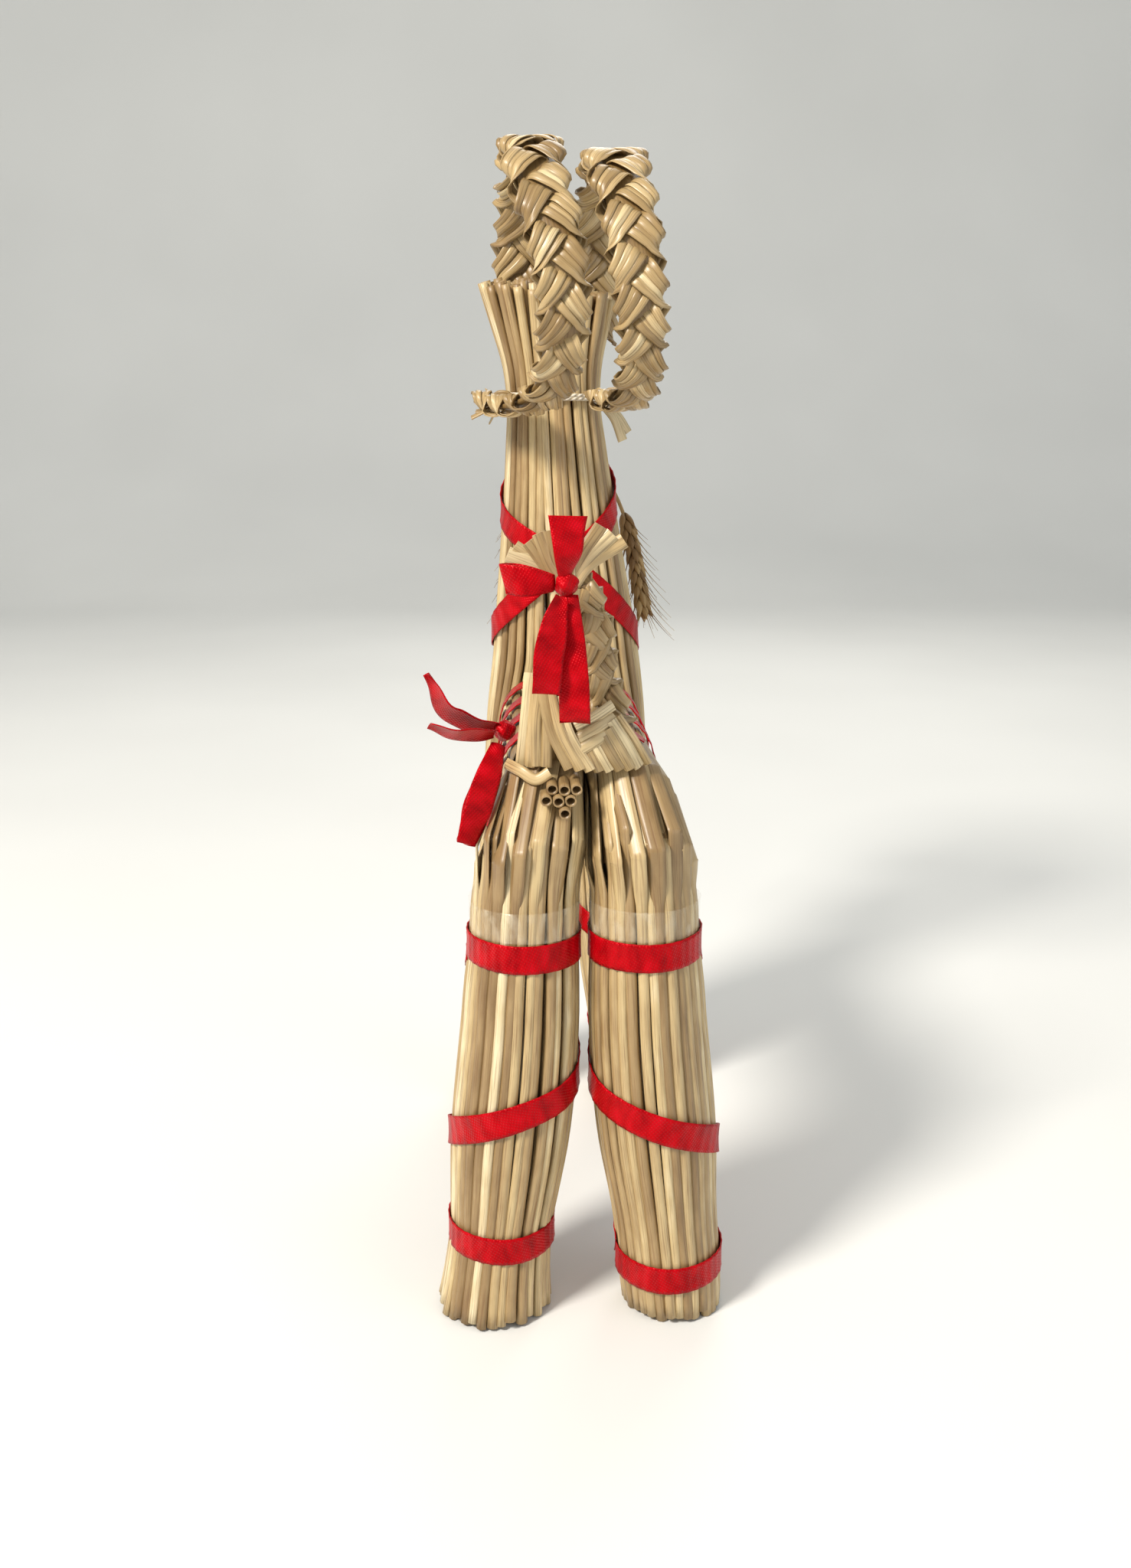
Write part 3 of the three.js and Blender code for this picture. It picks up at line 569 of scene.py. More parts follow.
def wheat_finish():
    """Ripe wheat chaff: dull, papery, golden brown, each husk with its own shade and fine veins."""
    finish, tree, place, tint = new_finish("wheat_chaff")
    veins = streaks(tree, place, (30, 1.5))
    shade = node(tree, "Math", {0: veins, 1: 0.3, 2: tint}, operation="MULTIPLY_ADD")
    browns = [(0.1, "#5c4124"), (0.6, "#957549"), (1.1, "#c2a574")]
    base = node(tree, "ValToRGB", {"Fac": shade}, stops=browns)
    bump = node(tree, "Bump", {"Height": veins, "Strength": 0.5, "Distance": 0.0003})
    end_finish(tree, {"Base Color": base, "Roughness": 0.62, "Normal": bump})
    return finish


def tape_finish():
    """Clear polypropylene tape: almost unseen but for its gloss and a faint yellow cast, with painted glints
    where its creases show more of both.
    """
    finish, tree, place, _ = new_finish("clear_tape")
    creases_and_glints = streaks(tree, place, (1.2, 2.5), 3.0)
    bump = node(tree, "Bump", {"Height": creases_and_glints, "Strength": 0.5, "Distance": 0.0008})
    # Where the creases rise, the tape is less clear, so more of its pale colour and gloss shows: painted
    # glints.
    alpha = node(tree, "ValToRGB", {"Fac": creases_and_glints}, stops=[(0.5, 0.04), (0.75, 0.3)])
    end_finish(tree, {"Base Color": "#f3ead2", "Roughness": 0.12, "Alpha": alpha, "Normal": bump})
    return finish


def string_finish():
    """Bleached cotton thread: dull white, with the twists of its yarn 1.7 mm apart."""
    finish, tree, place, _ = new_finish("cotton_string")
    turned = node(tree, "Mapping", {"Vector": place, "Rotation": (0, 0, 0.7)})
    twist = node(tree, "TexWave", {"Vector": turned, "Scale": 6 * WAVE}, "Fac")
    base = node(tree, "ValToRGB", {"Fac": twist}, stops=[(0.1, "#b9a98c"), (0.7, "#e9e0cf")])
    bump = node(tree, "Bump", {"Height": twist, "Strength": 0.7, "Distance": 0.0004})
    end_finish(tree, {"Base Color": base, "Roughness": 0.8, "Normal": bump})
    return finish


red_ribbon = ribbon_finish()
wheat_chaff = wheat_finish()
clear_tape = tape_finish()
cotton_string = string_finish()

# ---- Camera, lights and floor ----
EYE = (23.6, 569.2, 305)
LOOK = np.array([-0.0385, -0.99926])
PITCH = math.radians(14.8)
ahead = np.array([*(LOOK * math.cos(PITCH)), -math.sin(PITCH)])
right = np.array([LOOK[1], -LOOK[0], 0])
above = np.array([*(LOOK * math.sin(PITCH)), math.cos(PITCH)])
lens = bpy.data.cameras.new("camera")
lens.sensor_fit, lens.sensor_height, lens.lens = "VERTICAL", 36, 33.56
lens.clip_start = 0.02
camera = bpy.data.objects.new("camera", lens)
placed = np.eye(4)
placed[:3, :4] = np.column_stack([right, above, -ahead, np.array(EYE) * MM])
camera.matrix_world = Matrix(placed.tolist())
bpy.context.scene.collection.objects.link(camera)
bpy.context.scene.camera = camera


def lamp(name, place, size, power, colour):
    """A round lamp of that diameter in metres and power in watts, turned to the middle of the goat."""
    data = bpy.data.lights.new(name, "AREA")
    data.shape, data.size, data.energy, data.color = "DISK", size, power, hex_colour(colour)[:3]
    made = bpy.data.objects.new(name, data)
    made.location = place
    direction = Vector((0, 0, 0.2)) - Vector(place)
    made.rotation_euler = direction.to_track_quat("-Z", "Y").to_euler()
    bpy.context.scene.collection.objects.link(made)


lamp("window_light", (0.9, 0.9, 1.3), 0.4, 36, "#fff8ee")
lamp("room_light", (-1.15, 0.8, 0.6), 1.2, 4, "#f2f6ff")
lamp("back_light", (-0.3, -1.1, 1.1), 0.9, 7, "#fffaf2")
world = bpy.data.worlds.new("soft_room")
world.use_nodes = True
world.node_tree.nodes["Background"].inputs["Color"].default_value = hex_colour("#e3e5e4")
world.node_tree.nodes["Background"].inputs["Strength"].default_value = 0.62
bpy.context.scene.world = world
bpy.context.scene.view_settings.view_transform = "Standard"


def floor_finish():
    """Matt painted board, pale and nearly even."""
    finish, tree, _, _ = new_finish("pale_floor")
    place = node(tree, "TexCoord", out="Object")
    soft = node(tree, "TexNoise", {"Vector": place, "Scale": 3.0})
    base = node(tree, "ValToRGB", {"Fac": soft}, stops=[(0.3, "#dfe0de"), (0.7, "#e4e5e3")])
    end_finish(tree, {"Base Color": base, "Roughness": 0.7})
    return finish


def make_floor():
    """A floor that curves up into a wall: y runs back to -1.6 m, then turns up with radius 0.8 m."""
    turn = np.linspace(0, math.pi / 2, 24)
    y = np.concatenate([[8.0, 0.0], -1.6 - 0.8 * np.sin(turn), [-2.4]])
    z = np.concatenate([[0.0, 0.0], 0.8 - 0.8 * np.cos(turn), [4.0]])
    x = np.array([-9.0, 9.0])
    points = np.stack(np.broadcast_arrays(x[None], y[:, None], z[:, None]), -1).reshape(-1, 3)
    i = np.arange(len(y) - 1) * 2
    faces = np.column_stack([i, i + 2, i + 3, i + 1])
    mesh = bpy.data.meshes.new("floor")
    mesh.from_pydata(points.tolist(), [], faces.tolist())
    mesh.polygons.foreach_set("use_smooth", np.ones(len(faces), bool))
    floor = bpy.data.objects.new("floor", mesh)
    floor.data.materials.append(floor_finish())
    bpy.context.scene.collection.objects.link(floor)


make_floor()

# ---- Legs, body and neck: whole straws ----
HIND_STRAWS, FRONT_STRAWS = 34, 31  # in each layer of a leg


def straw_shades(n, seed, middle=0.6, spread_of=0.14):
    return np.clip(dice(seed + 7).normal(middle, spread_of, n), 0.34, 0.98)


def straighten(paths, folds):
    """Paths (paths, steps, 3) made straight between those steps, so that they bend only there."""
    paths = paths.copy()
    for low, high in zip(folds[:-1], folds[1:]):
        w = np.linspace(0, 1, high - low + 1)[:, None]
        paths[:, low : high + 1] = paths[:, [low]] * (1 - w) + paths[:, [high]] * w
    return paths


def hind_leg(name, side, foot, bands, seed):
    """Two layers of straws from the foot over the rump to the chest, staggered by half a straw. Over
    the rump each outer straw is pressed flat, runs in three straight stretches between folds, and
    leans like a roof tile; every second one sinks below its neighbours. On the body they grow round
    again. The ribbon's two bands press the straws in."""
    surface = hind_surface(side, foot)
    shape = Shape()
    stations = np.concatenate(
        [
            np.linspace(0, LEG_TOP, 26)[:-1],
            np.linspace(LEG_TOP, LEG_TOP + BEND, 61)[:-1],
            np.linspace(LEG_TOP + BEND, HIND_LENGTH, 22),
        ]
    )
    n = HIND_STRAWS
    for layer in range(2):
        draw = dice(seed + 31 * layer)
        t = spread(n, 0.5 * layer, 0.22, seed + layer)
        t = t - 0.16 * np.sin(t)
        uneven = draw.uniform(0, 1, (n, 1))
        # Every straw has a station at its own crease, which lies 20 to 35 degrees round the rump.
        crease = LEG_TOP + draw.uniform(20, 35, (n, 1))
        middle = LEG_TOP + 30
        tent = np.clip(np.minimum((stations - LEG_TOP - 5) / 25, (LEG_TOP + 85 - stations) / 55), 0, 1)
        s = stations + 3.2 * uneven * np.exp(-stations / 12) + (crease - middle) * tent
        outer = ease(0.6 - 1.4 * np.sin(t))[:, None]
        flat = ease((s - LEG_TOP + 6) / 22) * (1 - ease((s - LEG_TOP - BEND) / 45)) * outer
        radius = draw.uniform(1.5, 2.0, (n, 1))
        sunk = (np.arange(n) % 2)[:, None] * flat
        wide = radius * (1.1 + 0.5 * flat - 0.6 * sunk)
        thick = radius * (0.9 - 0.62 * flat)
        deep = np.where(layer, 3.6 - 0.8 * ease((s - LEG_TOP - BEND) / 30), 0)
        ridge = 0.9 * np.exp(-np.abs(s - crease) / 4) * outer
        proud = draw.uniform(-0.3, 0.12, (n, 1)) + 0.14 * np.sin(s / 37 + 9 * uneven)
        proud = proud + 0.1 * flat * draw.uniform(-1, 1, (n, 1)) - 1.4 * sunk - pinch(s, bands)
        flare = 0.9 * draw.uniform(-0.6, 1, (n, 1)) * np.exp(-s / 10)
        lift = ridge + proud + flare - thick - deep
        bow = draw.normal(0, 0.03, (n, 3, 1))
        x = s / HIND_LENGTH
        angle = t[:, None] + bow[:, 0] * (x - 0.3) + bow[:, 1] * np.sin(5 * x + 9 * bow[:, 2])
        folds = np.searchsorted(stations, [LEG_TOP, middle, LEG_TOP + 66, LEG_TOP + BEND])
        centre = straighten(surface(angle, s, lift), folds)
        out = unit(straighten(surface(angle, s, lift + 0.5), folds) - centre)
        tile = -0.22 * flat  # radians
        around = unit(np.cross(np.gradient(centre, axis=1), out))
        out = out * np.cos(tile)[..., None] + around * np.sin(tile)[..., None]
        # The inner layer's tint is 0.12 lower: painted shade where it shows between the outer straws.
        tint = straw_shades(n, seed + layer) - 0.12 * layer
        rods(shape, centre, out, wide, thick, hollow=(5, 0), tint=tint, seed=seed + layer)
    fill_foot(shape, surface, foot, seed)
    piece(name, shape, rye_straw)


def fill_foot(shape, surface, radius, seed):
    """Short straws that fill the inside of a foot, on three smaller and smaller ellipses."""
    for row in range(3):
        inset = 9.2 + 4.2 * row
        n = max(4, int((radius - inset) * TAU / 4.1))
        t = spread(n, 0.3 * row, 0.2, seed + 50 + row)
        draw = dice(seed + 60 + row)
        s = 1.2 + draw.uniform(0, 2.4, (n, 1)) + np.linspace(0, 9, 5)
        centre, out = laid_on(surface, t[:, None], s, -inset * np.ones_like(s))
        # These inner straws' tint is 0.15 lower: painted shade inside the foot.
        tint = straw_shades(n, seed + row) - 0.15
        rods(shape, centre, out, STRAW_RADIUS, 1.75, hollow=(4, 0), tint=tint, seed=seed + row)


hind_leg("hind_left_leg_straw", 1, 19.6, (133, 30), 10)
hind_leg("hind_right_leg_straw", -1, 17, (133, 18), 20)

neck_shape = Shape()


def front_leg(name, side, bands, seed):
    """Two layers of straws from a front foot, through half of the neck, to the crest. The leg keeps
    what is below the chest's top, and the neck's piece what is above it."""
    surface = half_neck(side)
    below = np.linspace(0, CHEST_TOP, 40)[:-1]
    stations = np.concatenate([below, np.linspace(CHEST_TOP, CREST_TOP, 38)])
    split = len(below)
    shape = Shape()
    n = FRONT_STRAWS
    for layer in range(2):
        draw = dice(seed + 31 * layer)
        t = spread(n, 0.5 * layer, 0.22, seed + layer)
        t = t - 0.2 * np.sin(t)
        uneven = draw.uniform(0, 1, (2, n, 1))
        # Cut unevenly at both ends; in each half of the crest, up to 4.8 shorter towards the right.
        short = 3.2 * uneven[1] + 2.4 - 2.4 * side * np.cos(t)[:, None]
        s = stations + 3.0 * uneven[0] * np.exp(-stations / 12)
        s = s - short * np.exp((stations - CREST_TOP) / 14)
        radius = draw.uniform(1.65, 1.95, (n, 1))
        tight = np.exp(-(((s - TIE_HEIGHT) / 16) ** 2))
        wide = radius * (1.06 - 0.08 * tight)
        thick = radius * (0.98 - 0.1 * tight)
        at_chest = ease((s - LEG_TOP) / 40) * (1 - ease((s - 230) / 40))
        deep = np.where(layer, 4.7 - 2.0 * at_chest, 0)
        proud = draw.uniform(-0.3, 0.12, (n, 1)) + 0.14 * np.sin(s / 41 + 9 * uneven[0])
        proud = proud - pinch(s, bands)
        splay = 1.5 * draw.uniform(-1, 1, (n, 1)) * ease((s - 318) / 32)
        lift = proud * (1 - 0.7 * tight) + splay - thick - deep
        bow = draw.normal(0, 0.03, (n, 3, 1))
        x = s / CREST_TOP
        angle = t[:, None] + bow[:, 0] * (x - 0.5) + bow[:, 1] * np.sin(5 * x + 9 * bow[:, 2])
        centre, out = laid_on(surface, angle, s, lift)
        # The front legs and neck get a tint middle of 0.62, a little above the hind legs' 0.6: painted light
        # on the neck. The inner layer's tint is 0.14 lower: painted shade between the outer straws.
        tint = straw_shades(n, seed + layer, 0.62) - 0.14 * layer
        low, high = slice(None, split + 1), slice(split, None)
        for target, part, hollow in ((shape, low, (5, 0)), (neck_shape, high, (0, 5))):
            rods(target, centre, out, wide, thick, hollow, tint=tint, seed=seed + layer, part=part)
    fill_foot(shape, surface, 19.6, seed)
    piece(name, shape, rye_straw)


front_leg("front_left_leg_straw", 1, (133, 27), 40)
front_leg("front_right_leg_straw", -1, (133, 25), 50)


def crest_fill(seed=64):
    """Inner straws of the crest, on smaller ellipses about the neck's middle."""
    for row, n in enumerate((14, 8)):
        t = spread(n, 0.3 * row, 0.3, seed + row)
        s = CREST_TOP - dice(seed + row).uniform(0, 5, (n, 1)) - np.linspace(0, 40, 8)
        y, rx, ry = np.moveaxis(neck_rows(s), -1, 0)
        share = 0.5 - 0.24 * row
        centre = xyz(
            lean(s) + share * rx * np.cos(t)[:, None],
            FRONT_Y + y + share * ry * np.sin(t)[:, None],
            s,
        )
        out = np.broadcast_to(xyz(np.cos(t), np.sin(t), 0)[:, None], centre.shape)
        # The inner straws' tint is 0.12 lower: painted shade inside the crest.
        tint = straw_shades(n, seed + row) - 0.12
        rods(neck_shape, centre, out, STRAW_RADIUS, 1.75, hollow=(5, 0), tint=tint, seed=seed + row)


crest_fill()
piece("neck_straw", neck_shape, rye_straw)

CORE = (7, 183.7)
# Where each lies from the middle of the bundle, and how far it stands out behind.
CORE_STRAWS = [
    (3.8, 3.1, 9.6), (0, 3.1, 11), (-3.8, 3.1, 10.4),
    (5.7, -0.05, 11.6), (1.9, -0.05, 13), (-1.9, -0.05, 12.4), (0, -3.2, 15.6),
]
for i, (x, z, stand) in enumerate(CORE_STRAWS):
    shape = Shape()
    y = np.linspace(FRONT_Y + 2, HIND_Y + 2 + stand, 40)
    centre = xyz(CORE[0] + x, y, CORE[1] + z + 0.12 * np.sin(y / 9))[None]
    out = np.broadcast_to([0.0, 0.0, 1.0], centre.shape)
    # The core straws get low tints, 0.34 to 0.44: painted shade under the tail's base.
    tint = [0.34 + 0.05 * (i % 3)]
    rods(shape, centre, out, STRAW_RADIUS, 1.72, hollow=(4, 14), sides=14, tint=tint, seed=70 + i)
    piece(f"core_straw_{i + 1}", shape, rye_straw)

# ---- Head ----
HEAD_X = float(lean(325))
HEAD_LINE = [(-9, 308), (-14, 327), (-35, 336), (-64, 314), (-90, 283)]
HEAD_SIZES = [
    (0, 12, 7.5), (0.2, 14, 11), (0.45, 15.5, 14), (0.7, 13.2, 12.4), (0.88, 11.4, 11), (1, 12.8, 12.2),
]
head_spine = Spine([(HEAD_X, FRONT_Y + y, z) for y, z in HEAD_LINE])
head_surface = spine_surface(head_spine, smooth(HEAD_SIZES))
MUZZLE = 0.86


def head():
    """Two layers of straws along the head's line, from the tie to the muzzle."""
    shape = Shape()
    n = 22
    for layer in range(2):
        draw = dice(80 + layer)
        t = spread(n, 0.5 * layer, 0.2, 80 + layer)[:, None]
        s = np.linspace(0, head_spine.length, 40) + 0.0 * t
        s = s - 3 * draw.uniform(0, 1, (n, 1)) * ease((s / head_spine.length - 0.9) / 0.1)
        lift = draw.uniform(-0.2, 0.3, (n, 1)) - 1.75 - 3.2 * layer
        angle = t + draw.normal(0, 0.04, (n, 1)) * np.sin(3 * s / head_spine.length)
        centre, out = laid_on(head_surface, angle, s, lift)
        # The inner layer's tint is 0.14 lower: painted shade between the outer straws.
        tint = straw_shades(n, 80 + layer) - 0.14 * layer
        rods(shape, centre, out, 1.85, 1.75, hollow=(0, 5), tint=tint, seed=80 + layer)
    for row, n_in in enumerate((9, 5)):
        t = spread(n_in, 0.2, 0.2, 84 + row)[:, None]
        s = head_spine.length - dice(85 + row).uniform(0, 3, (n_in, 1)) - np.linspace(0, 30, 6)
        centre, out = laid_on(head_surface, t, s, -7.2 - 3.4 * row)
        # These inner straws' tint is 0.2 lower: painted shade inside the head.
        tint = straw_shades(n_in, 86) - 0.2
        rods(shape, centre, out, STRAW_RADIUS, 1.75, hollow=(5, 0), tint=tint, seed=86)
    piece("head_straw", shape, rye_straw)


head()
shape = Shape()
ring_of(shape, head_surface, MUZZLE * head_spine.length, seed=90)
muzzle_ribbon = piece("muzzle_ribbon", shape, red_ribbon)


# ---- Plaits ----
def plait(shape, spine, sizes, period, straws=4, seed=0):
    """Three strands of pressed straws round a thin core. A strand's phase p grows by one turn in each
    "period" millimetres, less where the plait is narrow, and the strands are a third of a turn apart.
    A strand swings sideways as a sine pushed towards a triangle wave, and rises and sinks as
    -tanh(1.6 sin 2p). At each side it rolls over, gathered to 0.74 of its width, and is folded back.
    Its straws lie side by side across it."""
    steps = int(spine.length / 0.9)
    s = np.linspace(0, spine.length, steps)
    middle, side, up, along = spine.frame(s)
    rx, ry = np.moveaxis(sizes(s / spine.length), -1, 0)
    scale = rx / 10.6
    phase = np.cumsum(TAU / (period * scale)) * spine.length / (steps - 1)
    # The core's low tint of 0.3 is painted shade in the gaps between the strands.
    rods(shape, middle[None], up[None], 0.72 * rx, 0.26 * ry, tint=[0.3], seed=seed)
    for j in range(3):
        draw = dice(seed + j)
        p = phase + TAU * j / 3 + 0.16 * np.sin(0.37 * phase + draw.uniform(0, TAU))
        swing = (np.sin(p) - 0.105 * np.sin(3 * p) + 0.03 * np.sin(5 * p)) / 1.135
        sideways = swing * (rx - 2.2 * scale)
        deep = -0.66 * np.tanh(1.6 * np.sin(2 * p)) / math.tanh(1.6) * (ry - 1.2)
        # The roll: it lies flat where it crosses, and turns on edge where it folds over at a side.
        roll = -0.5 * math.pi * (np.tanh(5.5 * np.cos(p)) / math.tanh(5.5))[:, None]
        centre = middle + sideways[:, None] * side + deep[:, None] * up
        out = np.cos(roll) * side + np.sin(roll) * up
        run = unit(np.gradient(centre, axis=0))
        across = unit(np.cross(run, out))
        out = np.cross(across, run)
        strand = draw.normal(0, 0.04)
        gather = 0.74 + 0.26 * np.cos(p) ** 2
        pitch = (8.4 / (straws - 1) * np.maximum(scale, 0.75) * gather)[:, None]
        for k in range(straws):
            offset = (k - (straws - 1) / 2 + draw.uniform(-0.15, 0.15)) * pitch
            stack = 0.3 * (k % 2) + draw.uniform(-0.12, 0.12)
            path = centre + offset * across + stack * out
            tilt = draw.uniform(-0.3, 0.3)
            face = math.cos(tilt) * out + math.sin(tilt) * across
            own = seed + 10 * j + k
            tint = straw_shades(1, own, 0.56 + strand, 0.11)
            rods(shape, path[None], face[None], 0.66 * pitch[:, 0], 0.34, tint=tint, seed=own)


HORN_Y, HORN_RING = FRONT_Y + 33, 42
HORN_START = 205  # degrees round the loop
horn_sizes = smooth(
    [(0, 8.4, 6), (0.12, 10.6, 6.6), (0.45, 11, 6.8), (0.64, 10, 6.6), (0.84, 8.8, 6.6), (1, 7.2, 6.6)]
)


def horn(name, rows, last, axis, rise, droop, stubs, seed):
    """A plait on an oval loop: y = HORN_Y + HORN_RING cos a, z = axis + rise sin a, and the tip hangs
    down by "droop". Cut straw ends stick out of the tip."""
    share = np.linspace(0, 1, 13)
    angle = np.radians(HORN_START + (last - HORN_START) * share)
    x = smooth(rows)(share)[:, 0]
    fall = droop * np.maximum(0, (share - 0.82) / 0.18) ** 2
    spine = Spine(
        np.column_stack([x, HORN_Y + HORN_RING * np.cos(angle), axis + rise * np.sin(angle) - fall])
    )
    shape = Shape()
    plait(shape, spine, horn_sizes, 47, seed=seed)
    draw = dice(seed + 60)
    end, side, up, along = (v[0] for v in spine.frame(np.array([spine.length - 3])))
    push = draw.uniform(-1, 1, (stubs, 2))
    way = unit(along + 0.9 * push[:, :1] * side + 0.9 * push[:, 1:] * up)
    start = end + 2.4 * push[:, :1] * side + 2.4 * push[:, 1:] * up - 5 * along
    length = draw.uniform(7, 11, (stubs, 1))
    path = start[:, None] + np.linspace(0, 1, 6)[:, None] * (length * way)[:, None]
    out = np.broadcast_to(unit(np.cross(way, draw.normal(0, 1, (stubs, 3))))[:, None], path.shape)
    rods(shape, path, out, 1.3, 0.4, tint=straw_shades(stubs, seed + 60), seed=seed + 60)
    piece(name, shape, flat_straw)


LEFT_HORN = [(0, 21), (0.2, 16.5), (0.36, 14), (0.5, 12.4), (0.64, 4.2), (0.73, 4), (0.86, 10.6), (1, 33)]
RIGHT_HORN = [(0, -12), (0.36, -16), (0.5, -17), (0.64, -22), (0.78, -24.6), (0.88, -23), (1, -14)]
horn("left_horn", LEFT_HORN, -118, 348.4, 45, 4.5, 10, 100)
horn("right_horn", RIGHT_HORN, -107, 346.4, 43, 0, 5, 140)

# ---- Tail ----
TAIL_LINE = [(-9, -1, 205), (-4.4, 1, 222), (-2.4, 3, 237), (1.8, 5, 249)]
tail_spine = Spine([(x, TAIL_Y + y, z) for x, y, z in TAIL_LINE])
tail_sizes = smooth([(0, 6.2, 5.2), (0.4, 4.8, 4.6), (0.8, 4.6, 4.4), (1, 4.2, 4)])
shape = Shape()
plait(shape, tail_spine, tail_sizes, 72, straws=3, seed=180)
piece("tail_plait", shape, flat_straw)


def flats(shape, paths, wide=2.6, thick=0.45, seed=0, middle=0.6):
    """Pressed straws that face the tail's rear: each path is a list of (x, back, z), where back is
    measured from the tail's middle plane."""
    for i, path in enumerate(paths):
        line, length = through([(x, TAIL_Y + y, z) for x, y, z in path])
        centre = line(np.linspace(0, length, 8 * len(path)))
        lean_x, lean_z = dice(seed + i).uniform((-0.45, 0), (0.45, 0.3))
        out = np.broadcast_to([lean_x, 1.0, lean_z], centre.shape)
        tint = straw_shades(1, seed + i, middle, 0.22)
        rods(shape, centre[None], out[None], wide, thick, tint=tint, seed=seed + i)


# The base: two tall bands on the left, pleats that fold down to the middle, bands that cross them
# from the plait, and a bright fan on the right. One end curls out at the left.
shape = Shape()
flats(
    shape,
    [
        [(20.4, 3, 191.9), (18.9, 6.5, 207), (17.4, 5, 222)],
        [(17.6, 5, 191.7), (16.8, 7.4, 207), (15.4, 6, 221)],
        [(15.2, 7, 192.4), (15.2, 8.4, 207), (13.8, 7, 218.6)],
        [(12.4, 7.4, 192.2), (12.2, 8.6, 205), (12.4, 7.2, 217)],
        [(13.6, 8, 218), (11.2, 10, 205.6), (5.2, 10, 192.2)],
        [(11.4, 8.2, 217), (8.4, 10.6, 205.3), (1.8, 10.4, 191.8)],
        [(8.8, 8.2, 215), (5.6, 10.8, 204.2), (-1.4, 10.4, 191.6)],
        [(-8.6, 7, 212), (-3, 9.4, 208.8), (3.4, 9.2, 205.4)],
        [(-9, 8, 208.6), (-3.2, 10.6, 205.4), (2.6, 10.2, 202)],
        [(-9, 8.8, 205.2), (-3.8, 11.4, 202), (1.6, 11, 198.6)],
        [(-0.4, 10.6, 199.6), (-2.4, 10.8, 195.6), (-4.4, 9.4, 191.2)],
        [(-2.6, 11, 200.8), (-5.2, 11, 196.2), (-7.8, 9, 191.3)],
        [(-4.8, 11, 202.4), (-7.8, 11, 197), (-11, 8.4, 191.4)],
        [(-6.6, 10.6, 205), (-10.4, 10.8, 198.4), (-14.2, 7.4, 191.2)],
        [(-8, 9.6, 207.6), (-12.8, 9.6, 200), (-17.2, 5.6, 191.5)],
        [(-9.6, 8, 208.4), (-15, 8, 200.6), (-19.8, 3.4, 191.9)],
        [(25, 1, 191.9), (20.4, 7, 190.8), (15.6, 9.4, 188.6), (11.4, 9.4, 191)],
    ],
    wide=1.95,
    thick=0.6,
    seed=200,
    middle=0.78,
)
# The bands that lie beneath the pleats get a tint middle of 0.3: painted shade under the pleats.
flats(
    shape,
    [
        [(x, 1 - 0.008 * x * x, 190), (0.8 * x + 1, 3.4, 198), (0.5 * x + 3, 4, 207)]
        for x in np.linspace(-17, 17, 9)
    ],
    seed=230,
    middle=0.3,
)
piece("tail_base", shape, flat_straw)

shape = Shape()
# The tuft's tips, as (x, z): a fan on each side, and two straws between.
tips = [(-13, 264), (-9.5, 266), (-6, 268.4)]
tips += [(10, 267), (13, 266.4), (16, 264), (20.6, 262), (22.6, 260)]
tips += [(1, 269), (5, 269)]
flats(
    shape,
    [
        [
            (5 + 0.05 * x, 5.6, 249),
            (5.4 + 0.35 * x, 6.4 + 0.25 * (i % 3), 254.4),
            (x + 1.4, 6.6 + 0.5 * (i % 3), z - 1),
        ]
        for i, (x, z) in enumerate(tips)
    ],
    seed=240,
    middle=0.78,
)
piece("tail_tuft", shape, flat_straw)


# ---- Neck tie, tape and ribbons ----
shape = Shape()
for turn_of in range(2):
    t = np.linspace(0, TAU, 90, endpoint=False)
    centre = neck_surface(t, TIE_HEIGHT - 0.8 + 1.6 * turn_of + 0.5 * np.sin(t + turn_of), 0.9)
    along = unit(np.roll(centre, -1, 0) - np.roll(centre, 1, 0))
    out = unit(neck_surface(t, TIE_HEIGHT + 0.0 * t, 1.9) - neck_surface(t, TIE_HEIGHT + 0.0 * t, 0.9))
    up = np.cross(along, out)
    a = TAU * np.arange(8) / 8
    rings = centre[:, None] + 0.75 * (np.cos(a)[:, None] * up[:, None] + np.sin(a)[:, None] * out[:, None])
    shape.skin(rings[None], closed=True, seed=260 + turn_of)
piece("neck_tie", shape, cotton_string)

for i, (reach, drop, back) in enumerate([(10, 11, 9.5), (7.5, 14, 3.5)]):
    shape = Shape()
    x0 = float(lean(TIE_HEIGHT)) - 21
    line, length = through(
        [
            (x0, FRONT_Y - back, 302),
            (x0 - reach / 2, FRONT_Y - back, 302 - drop / 3),
            (x0 - reach, FRONT_Y - back, 302 - drop),
        ]
    )
    centre = line(np.linspace(0, length, 14))[None]
    out = np.broadcast_to([-0.5, 0.8, 0.3], centre.shape)
    rods(shape, centre, out, 2.6, 0.4, tint=[0.9], seed=270 + i)
    piece(f"neck_tie_end_{i + 1}", shape, flat_straw)

TAPE_HEIGHT = 143.05
